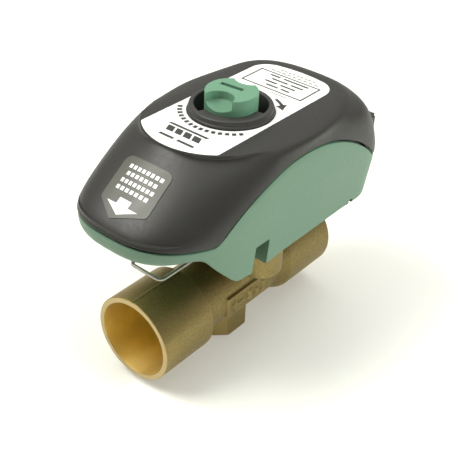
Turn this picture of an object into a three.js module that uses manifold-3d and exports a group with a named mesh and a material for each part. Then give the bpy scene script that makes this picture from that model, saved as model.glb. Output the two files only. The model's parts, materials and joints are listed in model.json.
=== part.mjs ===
// A motorised two-way zone valve: a brass ball valve with two solder sockets in line, and a
// gear-motor actuator that clips onto the valve's neck.
//
// Millimetres, +Z up. The waterway runs along X and the front socket is at -X. The override knob,
// the output shaft and the valve stem all turn on the Z axis. Z = 0 is the underside of the square
// boss that the valve stands on.

import * as THREE from "three";
import { mergeVertices } from "three/addons/utils/BufferGeometryUtils.js";
import Module from "manifold-3d";

const wasm = await Module();
wasm.setup();

// ---------------------------------------------------------------- driving dimensions

const GAP = 0.3; // clearance between pieces that rest on or in each other
const LABEL_GAP = 0.1; // under a stuck-on label
const LABEL_THICKNESS = 0.15;

// Valve
const AXIS_Z = 20; // waterway axis above the boss underside
const TUBE_OD = 28.6; // copper tube that the sockets take, 1 inch nominal
const SOCKET_R = TUBE_OD / 2 + 0.05;
const SOCKET_WALL = 2.15;
const SOCKET_OUTER_R = SOCKET_R + SOCKET_WALL;
const SOCKET_DEPTH = 23;
const FRONT_END_X = -49.65;
const REAR_END_X = 46.4;
const PARTING_X = -25; // where the screwed-in end piece meets the cast body
const BARREL_R = 13.2;
const CAVITY_R = 11.6; // bore of the cast body, for the ball and the end piece
const WATERWAY_R = 8;
const SHOULDER_X = 18; // the barrel swells to the rear socket from here
const SHOULDER_LENGTH = 3;
const BALL_R = 10.3;
const BALL_BORE_R = 6.5;
const SEAT_X = 10.5; // outer face of each seat
const SEAT = { near: 6.2, bore: BALL_BORE_R + 0.3 };
const SEAL_GROOVE = { x: -22, half: 1.1, r: 9.5 }; // round the end piece's spigot
const STEM_R = 3.5;
const STEM_TOP = 54.5;
const FLATS_Z = 51; // the stem's two flats start here
const NECK_R = 6.2;
const NECK_TOP = 50;
const NECK_ROOT_R = 9.5;
const NECK_CHAMFER = 0.6;
const GROOVE_R = 5.4; // groove in the neck at the height of the clip
const GROOVE_HALF = 1;
const STEM_POCKET = { r: 5.6, top: 33.6 }; // room for the stem's flange and its washer
const STEM_FLANGE = { r: 5.2, z0: 31, z1: 32.2 };
const STEM_BOTTOM = 27.3;
const STEM_SEAL_Z = [37, 41];
const STEM_SEAL = { grooveR: 2.4, grooveHalf: 0.75, middleR: 3.1, sectionR: 0.5 };
const STEM_FLATS_HALF = 2.4;
const BALL_SLOT = { half: 1.6, z: 27 }; // slot across the ball's top, for the stem's tang
const SADDLE_X = 0.7;
const SADDLE_END_Y = 16.5; // centre of each rounded end
const SADDLE_R = 8.5;
const SADDLE_BOTTOM = 34.6;
const SADDLE_TOP = 44.2;
const SADDLE_BEVEL = 1.2;
const SADDLE_EDGE = 0.6;
const WEB = { half: 4, reach: 12, z0: 22, cornerR: 3 }; // cast web between the barrel and the saddle
const BOSS_X = -2.6;
const BOSS_HALF = 9.5;
const BOSS_CHAMFER = 4.6;
const BOSS_TOP = 12; // inside the barrel
const PANEL = { x0: -14, x1: 12, z0: 15, z1: 23.6, y: 13.9 }; // raised cast panel on each side

// Actuator envelope
const TOP_Z = 90.7; // flat that carries the top label
const SEAM_LEVEL = 68.5; // the plan outline is at its full size here
const REAR_LEVEL = 61.9; // the rear face leans in below this
const TOP_HALF = 17.1;
const FULL_HALF = 30.2;
const TOP_FRONT_X = -33.4;
const FULL_FRONT_X = -60.2;
const TOP_REAR_X = 43;
const CREST = { apexX: -33.5, arcR: 24.95, corner: 0.75, sideX: -16 }; // front edge of the flat
const FULL_REAR_X = 57.8;
const SIDE_ROUND = 3.4; // superellipse exponent of the shoulders
// The shoulders' swelling: the fall where it is greatest, then share of the width, X and reach of each part.
const SHOULDER = {
  level: 0.08,
  parts: [
    [0.105, 9, 17],
    [-0.058, -21, 11],
    [-0.075, 42, 10],
  ],
};
const REAR_ROUND = 2.2;
const NOSE_POWER = 1.48;
const NOSE_FALL = 1.2;
const SIDE_DRAFT = 0.077;
const REAR_DRAFT = 0.2;
const WALL = 2.2;

// Parting line between cover and base, seen from the side
const ARCH_X = 4.6; // centre of the long arc
const ARCH_Z = 20.1;
const ARCH_R = 63.8;
const NOSE_SEAM_Z = 69.9; // at the tip of the nose
const KINK = { x: -38.3, z: 67.3 };
const REAR_SEAM_Z = 64.8;
const SEAM_GAP = 0.4;
const BASE_RECESS = 0.35; // the base stands this far inside the cover

// Base tray
const BAND_Z = 64.2; // underside of the nose
const SKIRT_Z = 46.6;
const DECK_Z = 50; // underside of the floor
const FLOOR = 2;
const TONGUE = [
  { x: -44.5, z: BAND_Z },
  { x: -31.6, z: 50.6 },
]; // straight stretch below the nose
const TONGUE_FOOT_X = -25.5;
// Slot in each side of the tray, with a front edge that leans back from its foot to its head
const SLOT = { footX: -21.3, headX: -18.6, rearX: -12.4, top: 57.6, depth: 4.6, wall: 1.6 };
const REAR_CORNER = { x: 51.5, r: 5.6, topX: 59.6, topZ: 63 }; // rounded heel of the tray
const NOTCH = { x0: 38.5, x1: 40.7, z1: 48.6 };
const COLLAR_R = 12; // round socket under the floor that fits over the neck
const BUSH_BOSS = { r: 10.2, bore: 8.5, top: 54.2 };
const BUSHING_BORE = 6.3;

// Retaining clip
const WIRE_R = 0.68;
const CLIP_Z = 45.7;
const CLIP_FRONT_X = -42.8;
const CLIP_HALF = 7.2;
const CLIP_BEND = 2.2;
const CLIP_END_X = 10;
const CLIP_CHANNEL = { half: 1.1, reach: 14 }; // a channel for each leg across the collar

// Labels
const LABEL = {
  half: 16.75,
  front: { apexX: -33.05, arcR: 24.5, cornerR: 1.5 },
  rear: { apexX: 40.9, arcR: 54, cornerR: 8 },
};
const NOSE_LABEL = {
  apexX: -57.1,
  apexZ: 74.3,
  topX: -40.6,
  topZ: 87.2,
  length: 20.8,
  shoulder: 5.4, // from the apex up to the straight sides
  half: 9.9,
  flare: 1, // the far side leans out by this much
  corner: 1.3,
};

// Knob and its well
const WELL_R = 12.7;
const WELL_OUTER_R = 13.6;
const RING_R = 14.54;
const RING_TOP = 93.75;
const FLANGE_R = 15;
const WELL_FLOOR_Z = 81.5;
const KNOB_R = 9.21;
const KNOB_BOTTOM = 84.8;
const KNOB_TOP = 98.55;
const KNOB_EDGE = 0.7;
const KNOB_TURN = (5 * Math.PI) / 180; // the scoops and the slot stand a little off the X axis
const FRONT_SCOOP = { x: -7.7, r: 5.3, floor: 94.2, dishR: 11, dishDepth: 1.5 };
const REAR_SCOOP = { x: 12.4, r: 6.2, floor: 95.6 };
const DRIVER_SLOT = { x: 1.9, y: 1.3, half: 4.45, halfWidth: 0.55, depth: 1.2 };
const SHAFT_R = 3;
const SHAFT_TOP = 89.1;
const SHAFT_FLATS_Z = 83.2; // the knob's bore slides on the flats above this
const KNOB_BORE = { top: 92.4, pocketR: 5.9, pocketTop: 87.6 };
const FLAT_DEPTH = 0.7;
const COUPLING = { r: 6, z0: 51.2, hubR: 4.6, top: 56.4, socketTop: 54.9 };
const SPRING = { r: 4.6, wireR: 0.3, z0: WELL_FLOOR_Z + 0.6, height: 4.9, turns: 3.5 };

// Gear train: a compound train of two idlers between the motor pinion and the output gear
const PRESSURE_ANGLE = (25 * Math.PI) / 180;
const ADDENDUM = 0.75;
const DEDENDUM = 1.1;
const TOOTH_SHARE = 0.4; // tooth width over pitch, so that the teeth have free play
const OUTPUT = { teeth: 40, module: 0.8, z0: 55, z1: 59 };
const STAGE_2 = { teeth: 32, module: 0.6, z0: 60, z1: 62.4 };
const STAGE_3 = { teeth: 32, module: 0.5, z0: 63.4, z1: 65.4 };
const PINION_TEETH = 10;
const centreDistance = (stage) => (stage.module * (stage.teeth + PINION_TEETH)) / 2;
const IDLER_1_ANGLE = Math.PI; // from the output shaft
const IDLER_2_ANGLE = (120 * Math.PI) / 180; // from idler 1
const MOTOR_ANGLE = (-117 * Math.PI) / 180; // from idler 2
const PIN_R = 1;
const PLATE = { z0: 67, z1: 68.6, rearX: 16, midX: -29, frontX: -40.4 };
const PLATE_HALF = { rear: 21.6, mid: 20, front: 8 };
const MOTOR = { r: 10, z0: 69, z1: 79.5, earY: 12.8, strapHalf: 3, strapHeight: 1 };

// Electronics
const BOARD = { x0: 17.5, x1: 52, half: 17.6, z0: 65.9, z1: 67.5 };
const CAPACITOR = { x: 27, y: 6.4, r: 5, height: 14 };
const RELAY = { x0: 35, x1: 43.4, y0: 4, y1: 14, height: 10 };
const CHIP = { x0: 35, x1: 42, y0: -12, y1: -5, height: 1.9 };
const BLOCK = { x0: 44.2, x1: 55.6, half: 24.8, z0: 67.8, z1: 76.6 };
const LEVERS = 6;
const LEVER_PITCH = 8.2;
const LEVER = { x0: 50.2, x1: 58.4, half: 2.4, z0: 73.6, z1: 76.2, lip: 0.9, step: 0.6 };
const LEVER_SLOT_FLOOR = 71.6;
const TRUNNION = { x: 50.9, z: 74.9, r: 0.5, reach: 3.4 }; // each lever pivots on a pair of these
const WIRE_HOLE = { depth: 6, half: 1.4, z0: 68.4, z1: 70.8 };

// Screws
const COVER_POSTS = [
  [-38, -19.5],
  [-38, 19.5],
  [34, -22.4],
  [34, 22.4],
];
const PLATE_POSTS = [
  [12, -19],
  [12, 19],
  [-24, -16],
];
const BOARD_POSTS = [
  [22, -14],
  [22, 14],
];
const COVER_POST = { r: 3.6, split: 72, ledge: 66, headBore: 3.1, shankBore: 1.8 };
const COVER_PILOT = { r: 1.7, top: 77.5 };
const SMALL_POST = { r: 2.6, pilotR: 1.1, pilotFloor: 58 };
const SCREW_HOLE_R = 1.4;
const COVER_SCREW = { headR: 2.7, headH: 2, shankR: 1.4, length: 10.5 };
const PLATE_SCREW = { headR: 2, headH: 1.3, shankR: 0.8, length: 8 };
const MOTOR_SCREW = { headR: 1.9, headH: 1.1, shankR: 0.9, length: 2.6 };
const BOARD_SCREW = { headR: 2, headH: 1.3, shankR: 0.8, length: 6 };

// Facets round a full circle
const FINE = 28;
const MEDIUM = 18;
const COARSE = 10;
const ENVELOPE_QUARTER = 8; // steps in a quarter of the plan outline
const ENVELOPE_LEVELS = 7; // steps from the top down to the full outline

const OUTSIDE = { x: 70, y: 40, z: 120 }; // clear of the object all round, for cutting tools

// ---------------------------------------------------------------- solids

function toSolid(geometry) {
  const bare = geometry.index ? geometry.toNonIndexed() : geometry.clone();
  const positions = new THREE.BufferGeometry();
  positions.setAttribute("position", bare.getAttribute("position"));
  const merged = mergeVertices(positions, 1e-4);
  const triVerts = new Uint32Array(merged.index.array);
  const make = () =>
    new wasm.Manifold(
      new wasm.Mesh({
        numProp: 3,
        vertProperties: new Float32Array(merged.attributes.position.array),
        triVerts,
      }),
    );
  const solid = make();
  if (solid.volume() > 0) return solid;
  for (let i = 0; i < triVerts.length; i += 3) {
    [triVerts[i + 1], triVerts[i + 2]] = [triVerts[i + 2], triVerts[i + 1]];
  }
  return make();
}

function toGeometry(solid) {
  const mesh = solid.getMesh();
  const geometry = new THREE.BufferGeometry();
  const positions = new Float32Array(mesh.vertProperties);
  geometry.setAttribute("position", new THREE.BufferAttribute(positions, 3));
  geometry.setIndex(new THREE.BufferAttribute(new Uint32Array(mesh.triVerts), 1));
  geometry.computeVertexNormals();
  return geometry;
}

const join = (...solids) => solids.reduce((a, b) => a.add(b));
const cut = (solid, ...tools) => tools.reduce((a, b) => a.subtract(b), solid);

function block(x0, x1, y0, y1, z0, z1) {
  const geometry = new THREE.BoxGeometry(x1 - x0, y1 - y0, z1 - z0);
  geometry.translate((x0 + x1) / 2, (y0 + y1) / 2, (z0 + z1) / 2);
  return toSolid(geometry);
}

// A rod of radius r along Z at (x, y).
function rodZ(r, z0, z1, x = 0, y = 0, sides = MEDIUM) {
  const geometry = new THREE.CylinderGeometry(r, r, z1 - z0, sides);
  geometry.rotateX(Math.PI / 2);
  geometry.translate(x, y, (z0 + z1) / 2);
  return toSolid(geometry);
}

// A rod along X on the waterway axis.
function rodX(r, x0, x1, sides = FINE) {
  const geometry = new THREE.CylinderGeometry(r, r, x1 - x0, sides);
  geometry.rotateZ(Math.PI / 2);
  geometry.translate((x0 + x1) / 2, 0, AXIS_Z);
  return toSolid(geometry);
}

// Turns a closed outline of [radius, height] points round the Z axis.
function turned(outline, sides = FINE) {
  const points = outline.map(([r, z]) => new THREE.Vector2(r, z));
  points.push(points[0].clone());
  const geometry = new THREE.LatheGeometry(points, sides);
  geometry.rotateX(Math.PI / 2);
  return toSolid(geometry);
}

// The same, round the waterway axis: each point is [radius, x].
function turnedX(outline, sides = FINE) {
  const points = outline.map(([r, x]) => new THREE.Vector2(r, x));
  points.push(points[0].clone());
  const geometry = new THREE.LatheGeometry(points, sides);
  geometry.rotateZ(-Math.PI / 2);
  geometry.translate(0, 0, AXIS_Z);
  return toSolid(geometry);
}

// An outline in X and Y, raised from z0 to z1.
function prismZ(shape, z0, z1, curveSegments = 8) {
  const options = { depth: z1 - z0, bevelEnabled: false, curveSegments };
  const geometry = new THREE.ExtrudeGeometry(shape, options);
  geometry.translate(0, 0, z0);
  return toSolid(geometry);
}

// An outline in X and Z, as seen from the side, reaching from y0 to y1.
function prismY(points, y0, y1) {
  const shape = new THREE.Shape(points.map(([x, z]) => new THREE.Vector2(x, z)));
  const geometry = new THREE.ExtrudeGeometry(shape, { depth: y1 - y0, bevelEnabled: false });
  geometry.rotateX(Math.PI / 2);
  geometry.translate(0, y1, 0);
  return toSolid(geometry);
}

// A tube of a round section along a curve.
function tube(curve, radius, sides, steps) {
  const section = new THREE.Shape();
  for (let i = 0; i < sides; i++) {
    const angle = (i / sides) * 2 * Math.PI;
    const point = [radius * Math.cos(angle), radius * Math.sin(angle)];
    if (i === 0) section.moveTo(...point);
    else section.lineTo(...point);
  }
  const options = { steps, extrudePath: curve, bevelEnabled: false };
  return toSolid(new THREE.ExtrudeGeometry(section, options));
}

// A stack of rings with the same number of points, closed by a flat cap at each end.
function stacked(rings) {
  const count = rings[0].length;
  const positions = rings.flat(2);
  const index = [];
  for (let level = 0; level + 1 < rings.length; level++) {
    for (let i = 0; i < count; i++) {
      const a = level * count + i;
      const b = level * count + ((i + 1) % count);
      index.push(a, b, b + count, a, b + count, a + count);
    }
  }
  const outline = rings[0].map(([x, y]) => new THREE.Vector2(x, y));
  for (const [a, b, c] of THREE.ShapeUtils.triangulateShape(outline, [])) index.push(c, b, a);
  const last = (rings.length - 1) * count;
  const lid = rings[rings.length - 1].map(([x, y]) => new THREE.Vector2(x, y));
  for (const [a, b, c] of THREE.ShapeUtils.triangulateShape(lid, [])) {
    index.push(last + a, last + b, last + c);
  }
  const geometry = new THREE.BufferGeometry();
  geometry.setAttribute("position", new THREE.Float32BufferAttribute(positions, 3));
  geometry.setIndex(index);
  return toSolid(geometry);
}

// ---------------------------------------------------------------- actuator envelope

const blend = (a, b, t) => a + (b - a) * t;

// The plan outline at height z, drawn in by inset: superellipse nose and tail on straight flanks.
// At the very top the nose turns into the arc and the two corners of the flat's front edge.
function planOutline(z, inset) {
  const fall = THREE.MathUtils.clamp((TOP_Z - z) / (TOP_Z - SEAM_LEVEL), 0, 1);
  const rearFall = THREE.MathUtils.clamp((TOP_Z - z) / (TOP_Z - REAR_LEVEL), 0, 1);
  const side = (1 - (1 - fall) ** SIDE_ROUND) ** (1 / SIDE_ROUND);
  const nose = (1 - (1 - fall) ** NOSE_POWER) ** NOSE_FALL;
  const tail = (1 - (1 - rearFall) ** REAR_ROUND) ** (1 / REAR_ROUND);
  const crest = Math.exp(-fall / 0.03);
  const half = blend(TOP_HALF, FULL_HALF, side) - Math.max(0, SEAM_LEVEL - z) * SIDE_DRAFT - inset;
  const frontX = blend(TOP_FRONT_X, FULL_FRONT_X, nose) + inset;
  const lean = Math.max(0, REAR_LEVEL - z) * REAR_DRAFT;
  const rearX = blend(TOP_REAR_X, FULL_REAR_X, tail) - lean - inset;
  const frontStart = -2 - 8 * side - 14 * crest;
  const rearStart = 30 + 8 * rearFall;
  const frontPower = 2 / (1.85 + 0.95 * fall + 0.5 * crest);
  const rearPower = 2 / (2.5 + 2.75 * rearFall);
  const quarter = ENVELOPE_QUARTER;
  const ring = [];
  for (const [start, end, power] of [
    [frontStart, frontX, frontPower],
    [rearStart, rearX, rearPower],
  ]) {
    const toFront = end === frontX;
    for (let i = 0; i <= 2 * quarter; i++) {
      const turn = ((i - quarter) / quarter) * (Math.PI / 2) * (toFront ? -1 : 1);
      const along = Math.abs(Math.cos(turn)) ** power;
      const across = Math.sign(turn) * Math.abs(Math.sin(turn)) ** power;
      const [x, y] = [blend(start, end, along), half * across];
      const [flatX, flatY] = toFront ? crestPoint(1 - i / quarter, half, inset) : [x, y];
      const ringX = blend(x, flatX, crest);
      const ringY = blend(y, flatY, crest);
      ring.push([ringX, ringY * (1 + shoulderSwell(ringX, fall)), z]);
    }
  }
  return ring;
}

// The share by which the shoulders stand out beside the knob and draw in at both ends.
function shoulderSwell(x, fall) {
  const { level, parts } = SHOULDER;
  const depth = (fall / level) * Math.exp(1 - fall / level);
  let swell = 0;
  for (const [share, at, reach] of parts) swell += share * Math.exp(-(((x - at) / reach) ** 2));
  return depth * swell;
}

// A point of the flat's front edge, with turn from -1 to 1 and the corners at three quarters of that.
function crestPoint(turn, half, inset) {
  const { apexX, arcR, corner, sideX } = CREST;
  const share = Math.min(1, Math.abs(turn) / corner);
  const y = half * share * Math.sign(turn);
  const x = apexX + arcR - Math.sqrt(Math.max(0, arcR ** 2 - y ** 2)) + inset;
  const past = Math.max(0, (Math.abs(turn) - corner) / (1 - corner));
  return [blend(x, sideX, past), y];
}

// The whole envelope drawn in by a wall thickness, square to its surface.
function envelope(thickness, bottom) {
  const upper = ENVELOPE_LEVELS;
  const rings = [];
  for (let i = 0; i <= upper; i++) {
    const fall = 1 - Math.cos(((i / upper) * Math.PI) / 2);
    const z = TOP_Z - fall * (TOP_Z - SEAM_LEVEL);
    const slope = sideSlope(fall);
    rings.push(shiftedRing(z, thickness, slope));
  }
  const steps = [REAR_LEVEL, bottom];
  for (const z of steps) rings.push(shiftedRing(z, thickness, 0));
  rings.reverse();
  return stacked(rings);
}

// How far the shoulder's surface normal rises above the horizontal, in radians.
function sideSlope(fall) {
  const width = (f) => (FULL_HALF - TOP_HALF) * (1 - (1 - f) ** SIDE_ROUND) ** (1 / SIDE_ROUND);
  const step = 0.01;
  const low = Math.max(0, fall - step);
  const high = Math.min(1, fall + step);
  const run = width(high) - width(low);
  return Math.atan2(run, (high - low) * (TOP_Z - SEAM_LEVEL));
}

function shiftedRing(z, thickness, slope) {
  const ring = planOutline(z, thickness * Math.cos(slope));
  return ring.map(([x, y]) => [x, y, z - thickness * Math.sin(slope)]);
}

// The parting line at x: a gently falling nose, a long arc over the side and a level tail.
function seamHeight(x) {
  if (x < KINK.x) {
    const slope = (KINK.z - NOSE_SEAM_Z) / (KINK.x - FULL_FRONT_X);
    return NOSE_SEAM_Z + slope * (x - FULL_FRONT_X);
  }
  const arc = ARCH_Z + Math.sqrt(Math.max(0, ARCH_R ** 2 - (x - ARCH_X) ** 2));
  return x > ARCH_X ? Math.max(arc, REAR_SEAM_Z) : arc;
}

function seamLine(shift) {
  const points = [[-OUTSIDE.x, seamHeight(-OUTSIDE.x) + shift]];
  const steps = 40;
  for (let i = 0; i <= steps; i++) {
    const x = blend(KINK.x, BOARD.x1, i / steps);
    points.push([x, seamHeight(x) + shift]);
  }
  points.push([OUTSIDE.x, REAR_SEAM_Z + shift]);
  return points;
}

// Everything below a side-view line, or above it.
const closedAt = (line, z) => [...line, [OUTSIDE.x, z], [-OUTSIDE.x, z]];
const below = (line) => prismY(closedAt(line, 0), -OUTSIDE.y, OUTSIDE.y);
const above = (line) => prismY(closedAt(line, OUTSIDE.z), -OUTSIDE.y, OUTSIDE.y);

// The underside of the base, moved square to itself by thickness.
function undersideLine(level, thickness) {
  const [high, low] = TONGUE;
  const slope = Math.atan2(high.z - low.z, low.x - high.x);
  const shift = thickness / Math.sin(slope);
  const nose = BAND_Z + thickness;
  const run = (low.x - high.x) / (high.z - low.z);
  const xAt = (z) => high.x + shift + (high.z - z) * run;
  const points = [
    [-OUTSIDE.x, nose],
    [xAt(nose), nose],
  ];
  if (thickness === 0) {
    const corner = [xAt(level), level];
    const from = [low.x, low.z];
    const to = [TONGUE_FOOT_X, level];
    const steps = 6;
    for (let i = 0; i <= steps; i++) {
      const t = i / steps;
      const bend = (k) => (1 - t) ** 2 * from[k] + 2 * t * (1 - t) * corner[k] + t ** 2 * to[k];
      points.push([bend(0), bend(1)]);
    }
  } else {
    points.push([xAt(level), level]);
  }
  points.push([OUTSIDE.x, level]);
  return points;
}

// ---------------------------------------------------------------- valve

function valveBody() {
  const edge = 0.5;
  const outer = turnedX([
    [0, PARTING_X + GAP],
    [BARREL_R, PARTING_X + GAP],
    [BARREL_R, SHOULDER_X],
    [BARREL_R + 1.6, SHOULDER_X + 0.7],
    [SOCKET_OUTER_R, SHOULDER_X + SHOULDER_LENGTH],
    [SOCKET_OUTER_R, REAR_END_X - edge],
    [SOCKET_OUTER_R - edge, REAR_END_X],
    [0, REAR_END_X],
  ]);
  const boss = prismZ(chamferedSquare(BOSS_X, BOSS_HALF, BOSS_CHAMFER), 0, BOSS_TOP);
  const panel = block(PANEL.x0, PANEL.x1, -PANEL.y, PANEL.y, PANEL.z0, PANEL.z1);
  const neckRoot = rodZ(NECK_ROOT_R, AXIS_Z, SADDLE_TOP);
  const neck = turned([
    [0, AXIS_Z],
    [NECK_R, AXIS_Z],
    [NECK_R, CLIP_Z - GROOVE_HALF],
    [GROOVE_R, CLIP_Z - GROOVE_HALF],
    [GROOVE_R, CLIP_Z + GROOVE_HALF],
    [NECK_R, CLIP_Z + GROOVE_HALF],
    [NECK_R, NECK_TOP - NECK_CHAMFER],
    [NECK_R - NECK_CHAMFER, NECK_TOP],
    [0, NECK_TOP],
  ]);
  const solid = join(outer, boss, panel, neckRoot, neck, saddle());
  return cut(
    solid,
    rodX(CAVITY_R, PARTING_X - 1, SEAT_X + GAP),
    rodX(WATERWAY_R, 0, REAR_END_X),
    rodX(SOCKET_R, REAR_END_X - SOCKET_DEPTH, REAR_END_X + 1),
    rodZ(STEM_POCKET.r, AXIS_Z, STEM_POCKET.top),
    rodZ(STEM_R + GAP, AXIS_Z, NECK_TOP + 1),
  );
}

function chamferedSquare(x, half, chamfer) {
  const shape = new THREE.Shape();
  const near = half - chamfer;
  const corners = [
    [half, -near],
    [half, near],
    [near, half],
    [-near, half],
    [-half, near],
    [-half, -near],
    [-near, -half],
    [near, -half],
  ];
  corners.forEach(([u, v], i) => {
    if (i === 0) shape.moveTo(x + u, v);
    else shape.lineTo(x + u, v);
  });
  return shape;
}

// The thick cross bar below the neck, round at both ends and bevelled along its lower edge.
function saddle() {
  const outline = (inset) => {
    const r = SADDLE_R - inset;
    const ring = [];
    const quarter = 10;
    for (const side of [1, -1]) {
      for (let i = 0; i <= 2 * quarter; i++) {
        const angle = (i / (2 * quarter)) * Math.PI + (side > 0 ? 0 : Math.PI);
        ring.push([SADDLE_X + r * Math.cos(angle), side * SADDLE_END_Y + r * Math.sin(angle)]);
      }
    }
    return ring;
  };
  const levels = [
    [SADDLE_BOTTOM, SADDLE_BEVEL],
    [SADDLE_BOTTOM + SADDLE_BEVEL, 0],
    [SADDLE_TOP - SADDLE_EDGE, 0],
    [SADDLE_TOP, SADDLE_EDGE],
  ];
  const plate = stacked(levels.map(([z, inset]) => outline(inset).map(([x, y]) => [x, y, z])));
  const { half, reach, z0, cornerR } = WEB;
  const webShape = roundedBox(SADDLE_X - half, SADDLE_X + half, -reach, reach, cornerR);
  return plate.add(prismZ(webShape, z0, SADDLE_BOTTOM + 1));
}

function roundedBox(x0, x1, y0, y1, r) {
  const shape = new THREE.Shape();
  shape.moveTo(x0 + r, y0);
  shape.lineTo(x1 - r, y0);
  shape.absarc(x1 - r, y0 + r, r, -Math.PI / 2, 0, false);
  shape.lineTo(x1, y1 - r);
  shape.absarc(x1 - r, y1 - r, r, 0, Math.PI / 2, false);
  shape.lineTo(x0 + r, y1);
  shape.absarc(x0 + r, y1 - r, r, Math.PI / 2, Math.PI, false);
  shape.lineTo(x0, y0 + r);
  shape.absarc(x0 + r, y0 + r, r, Math.PI, 1.5 * Math.PI, false);
  return shape;
}

// The front socket and the threaded spigot that holds the ball and seats in.
function endPiece() {
  const spigotR = CAVITY_R - GAP;
  const groove = SEAL_GROOVE;
  const [mouth, shoulder] = [0.3, 0.6];
  return turnedX([
    [WATERWAY_R, -SEAT_X - GAP],
    [WATERWAY_R, FRONT_END_X + SOCKET_DEPTH],
    [SOCKET_R, FRONT_END_X + SOCKET_DEPTH],
    [SOCKET_R, FRONT_END_X],
    [SOCKET_OUTER_R - mouth, FRONT_END_X],
    [SOCKET_OUTER_R, FRONT_END_X + mouth],
    [SOCKET_OUTER_R, PARTING_X - shoulder],
    [SOCKET_OUTER_R - shoulder, PARTING_X],
    [spigotR, PARTING_X],
    [spigotR, groove.x - groove.half],
    [groove.r, groove.x - groove.half],
    [groove.r, groove.x + groove.half],
    [spigotR, groove.x + groove.half],
    [spigotR, -SEAT_X - GAP],
  ]);
}

function ring(outerR, innerR, x0, x1, sides = MEDIUM) {
  return turnedX(
    [
      [innerR, x0],
      [outerR, x0],
      [outerR, x1],
      [innerR, x1],
    ],
    sides,
  );
}

function sphere(r) {
  const geometry = new THREE.SphereGeometry(r, MEDIUM, 14);
  geometry.translate(0, 0, AXIS_Z);
  return toSolid(geometry);
}

// The seat on side +1 or -1: a ring hollowed to the ball.
function seat(side) {
  const near = side * SEAT.near;
  const far = side * SEAT_X;
  const x0 = Math.min(near, far);
  const x1 = Math.max(near, far);
  return ring(CAVITY_R - GAP, SEAT.bore, x0, x1).subtract(sphere(BALL_R + GAP));
}

function ball() {
  const { half, z } = BALL_SLOT;
  const slot = block(-half, half, -BALL_R, BALL_R, z, AXIS_Z + BALL_R + 1);
  return cut(sphere(BALL_R), rodX(BALL_BORE_R, -BALL_R - 1, BALL_R + 1, MEDIUM), slot);
}

function valveStem() {
  const { r: flangeR, z0: flangeZ0, z1: flangeZ1 } = STEM_FLANGE;
  const { grooveR, grooveHalf } = STEM_SEAL;
  const grooves = STEM_SEAL_Z.flatMap((z) => [
    [STEM_R, z - grooveHalf],
    [grooveR, z - grooveHalf],
    [grooveR, z + grooveHalf],
    [STEM_R, z + grooveHalf],
  ]);
  const rod = turned(
    [
      [0, STEM_BOTTOM],
      [STEM_R, STEM_BOTTOM],
      [STEM_R, flangeZ0],
      [flangeR, flangeZ0],
      [flangeR, flangeZ1],
      [STEM_R, flangeZ1],
      ...grooves,
      [STEM_R, STEM_TOP],
      [0, STEM_TOP],
    ],
    MEDIUM,
  );
  const tang = BALL_SLOT.half - GAP;
  return cut(
    rod,
    ...beyond(tang, STEM_BOTTOM - 1, flangeZ0),
    ...beyond(STEM_FLATS_HALF, FLATS_Z, STEM_TOP + 1),
  );
}

// Two blocks that leave a flat bar between -half and half in X.
function beyond(half, z0, z1) {
  const reach = COUPLING.r + 3;
  return [
    block(-reach, -half, -reach, reach, z0, z1),
    block(half, reach, -reach, reach, z0, z1),
  ];
}

function thrustWasher() {
  const washer = rodZ(STEM_FLANGE.r, STEM_FLANGE.z1 + GAP, STEM_POCKET.top - GAP);
  return washer.subtract(rodZ(STEM_R + GAP, AXIS_Z, NECK_TOP));
}

// A seal ring with an eight-sided section on the Z axis.
function sealRing(z, { middleR, sectionR }) {
  const outline = [];
  const sides = 8;
  for (let i = 0; i < sides; i++) {
    const angle = ((i + 0.5) / sides) * 2 * Math.PI;
    outline.push([middleR + sectionR * Math.cos(angle), z + sectionR * Math.sin(angle)]);
  }
  return turned(outline, MEDIUM);
}

function endSeal() {
  const { x, half, r } = SEAL_GROOVE;
  return ring(CAVITY_R - GAP, r + GAP, x - half + GAP, x + half - GAP);
}

// ---------------------------------------------------------------- base tray and its guides

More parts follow.
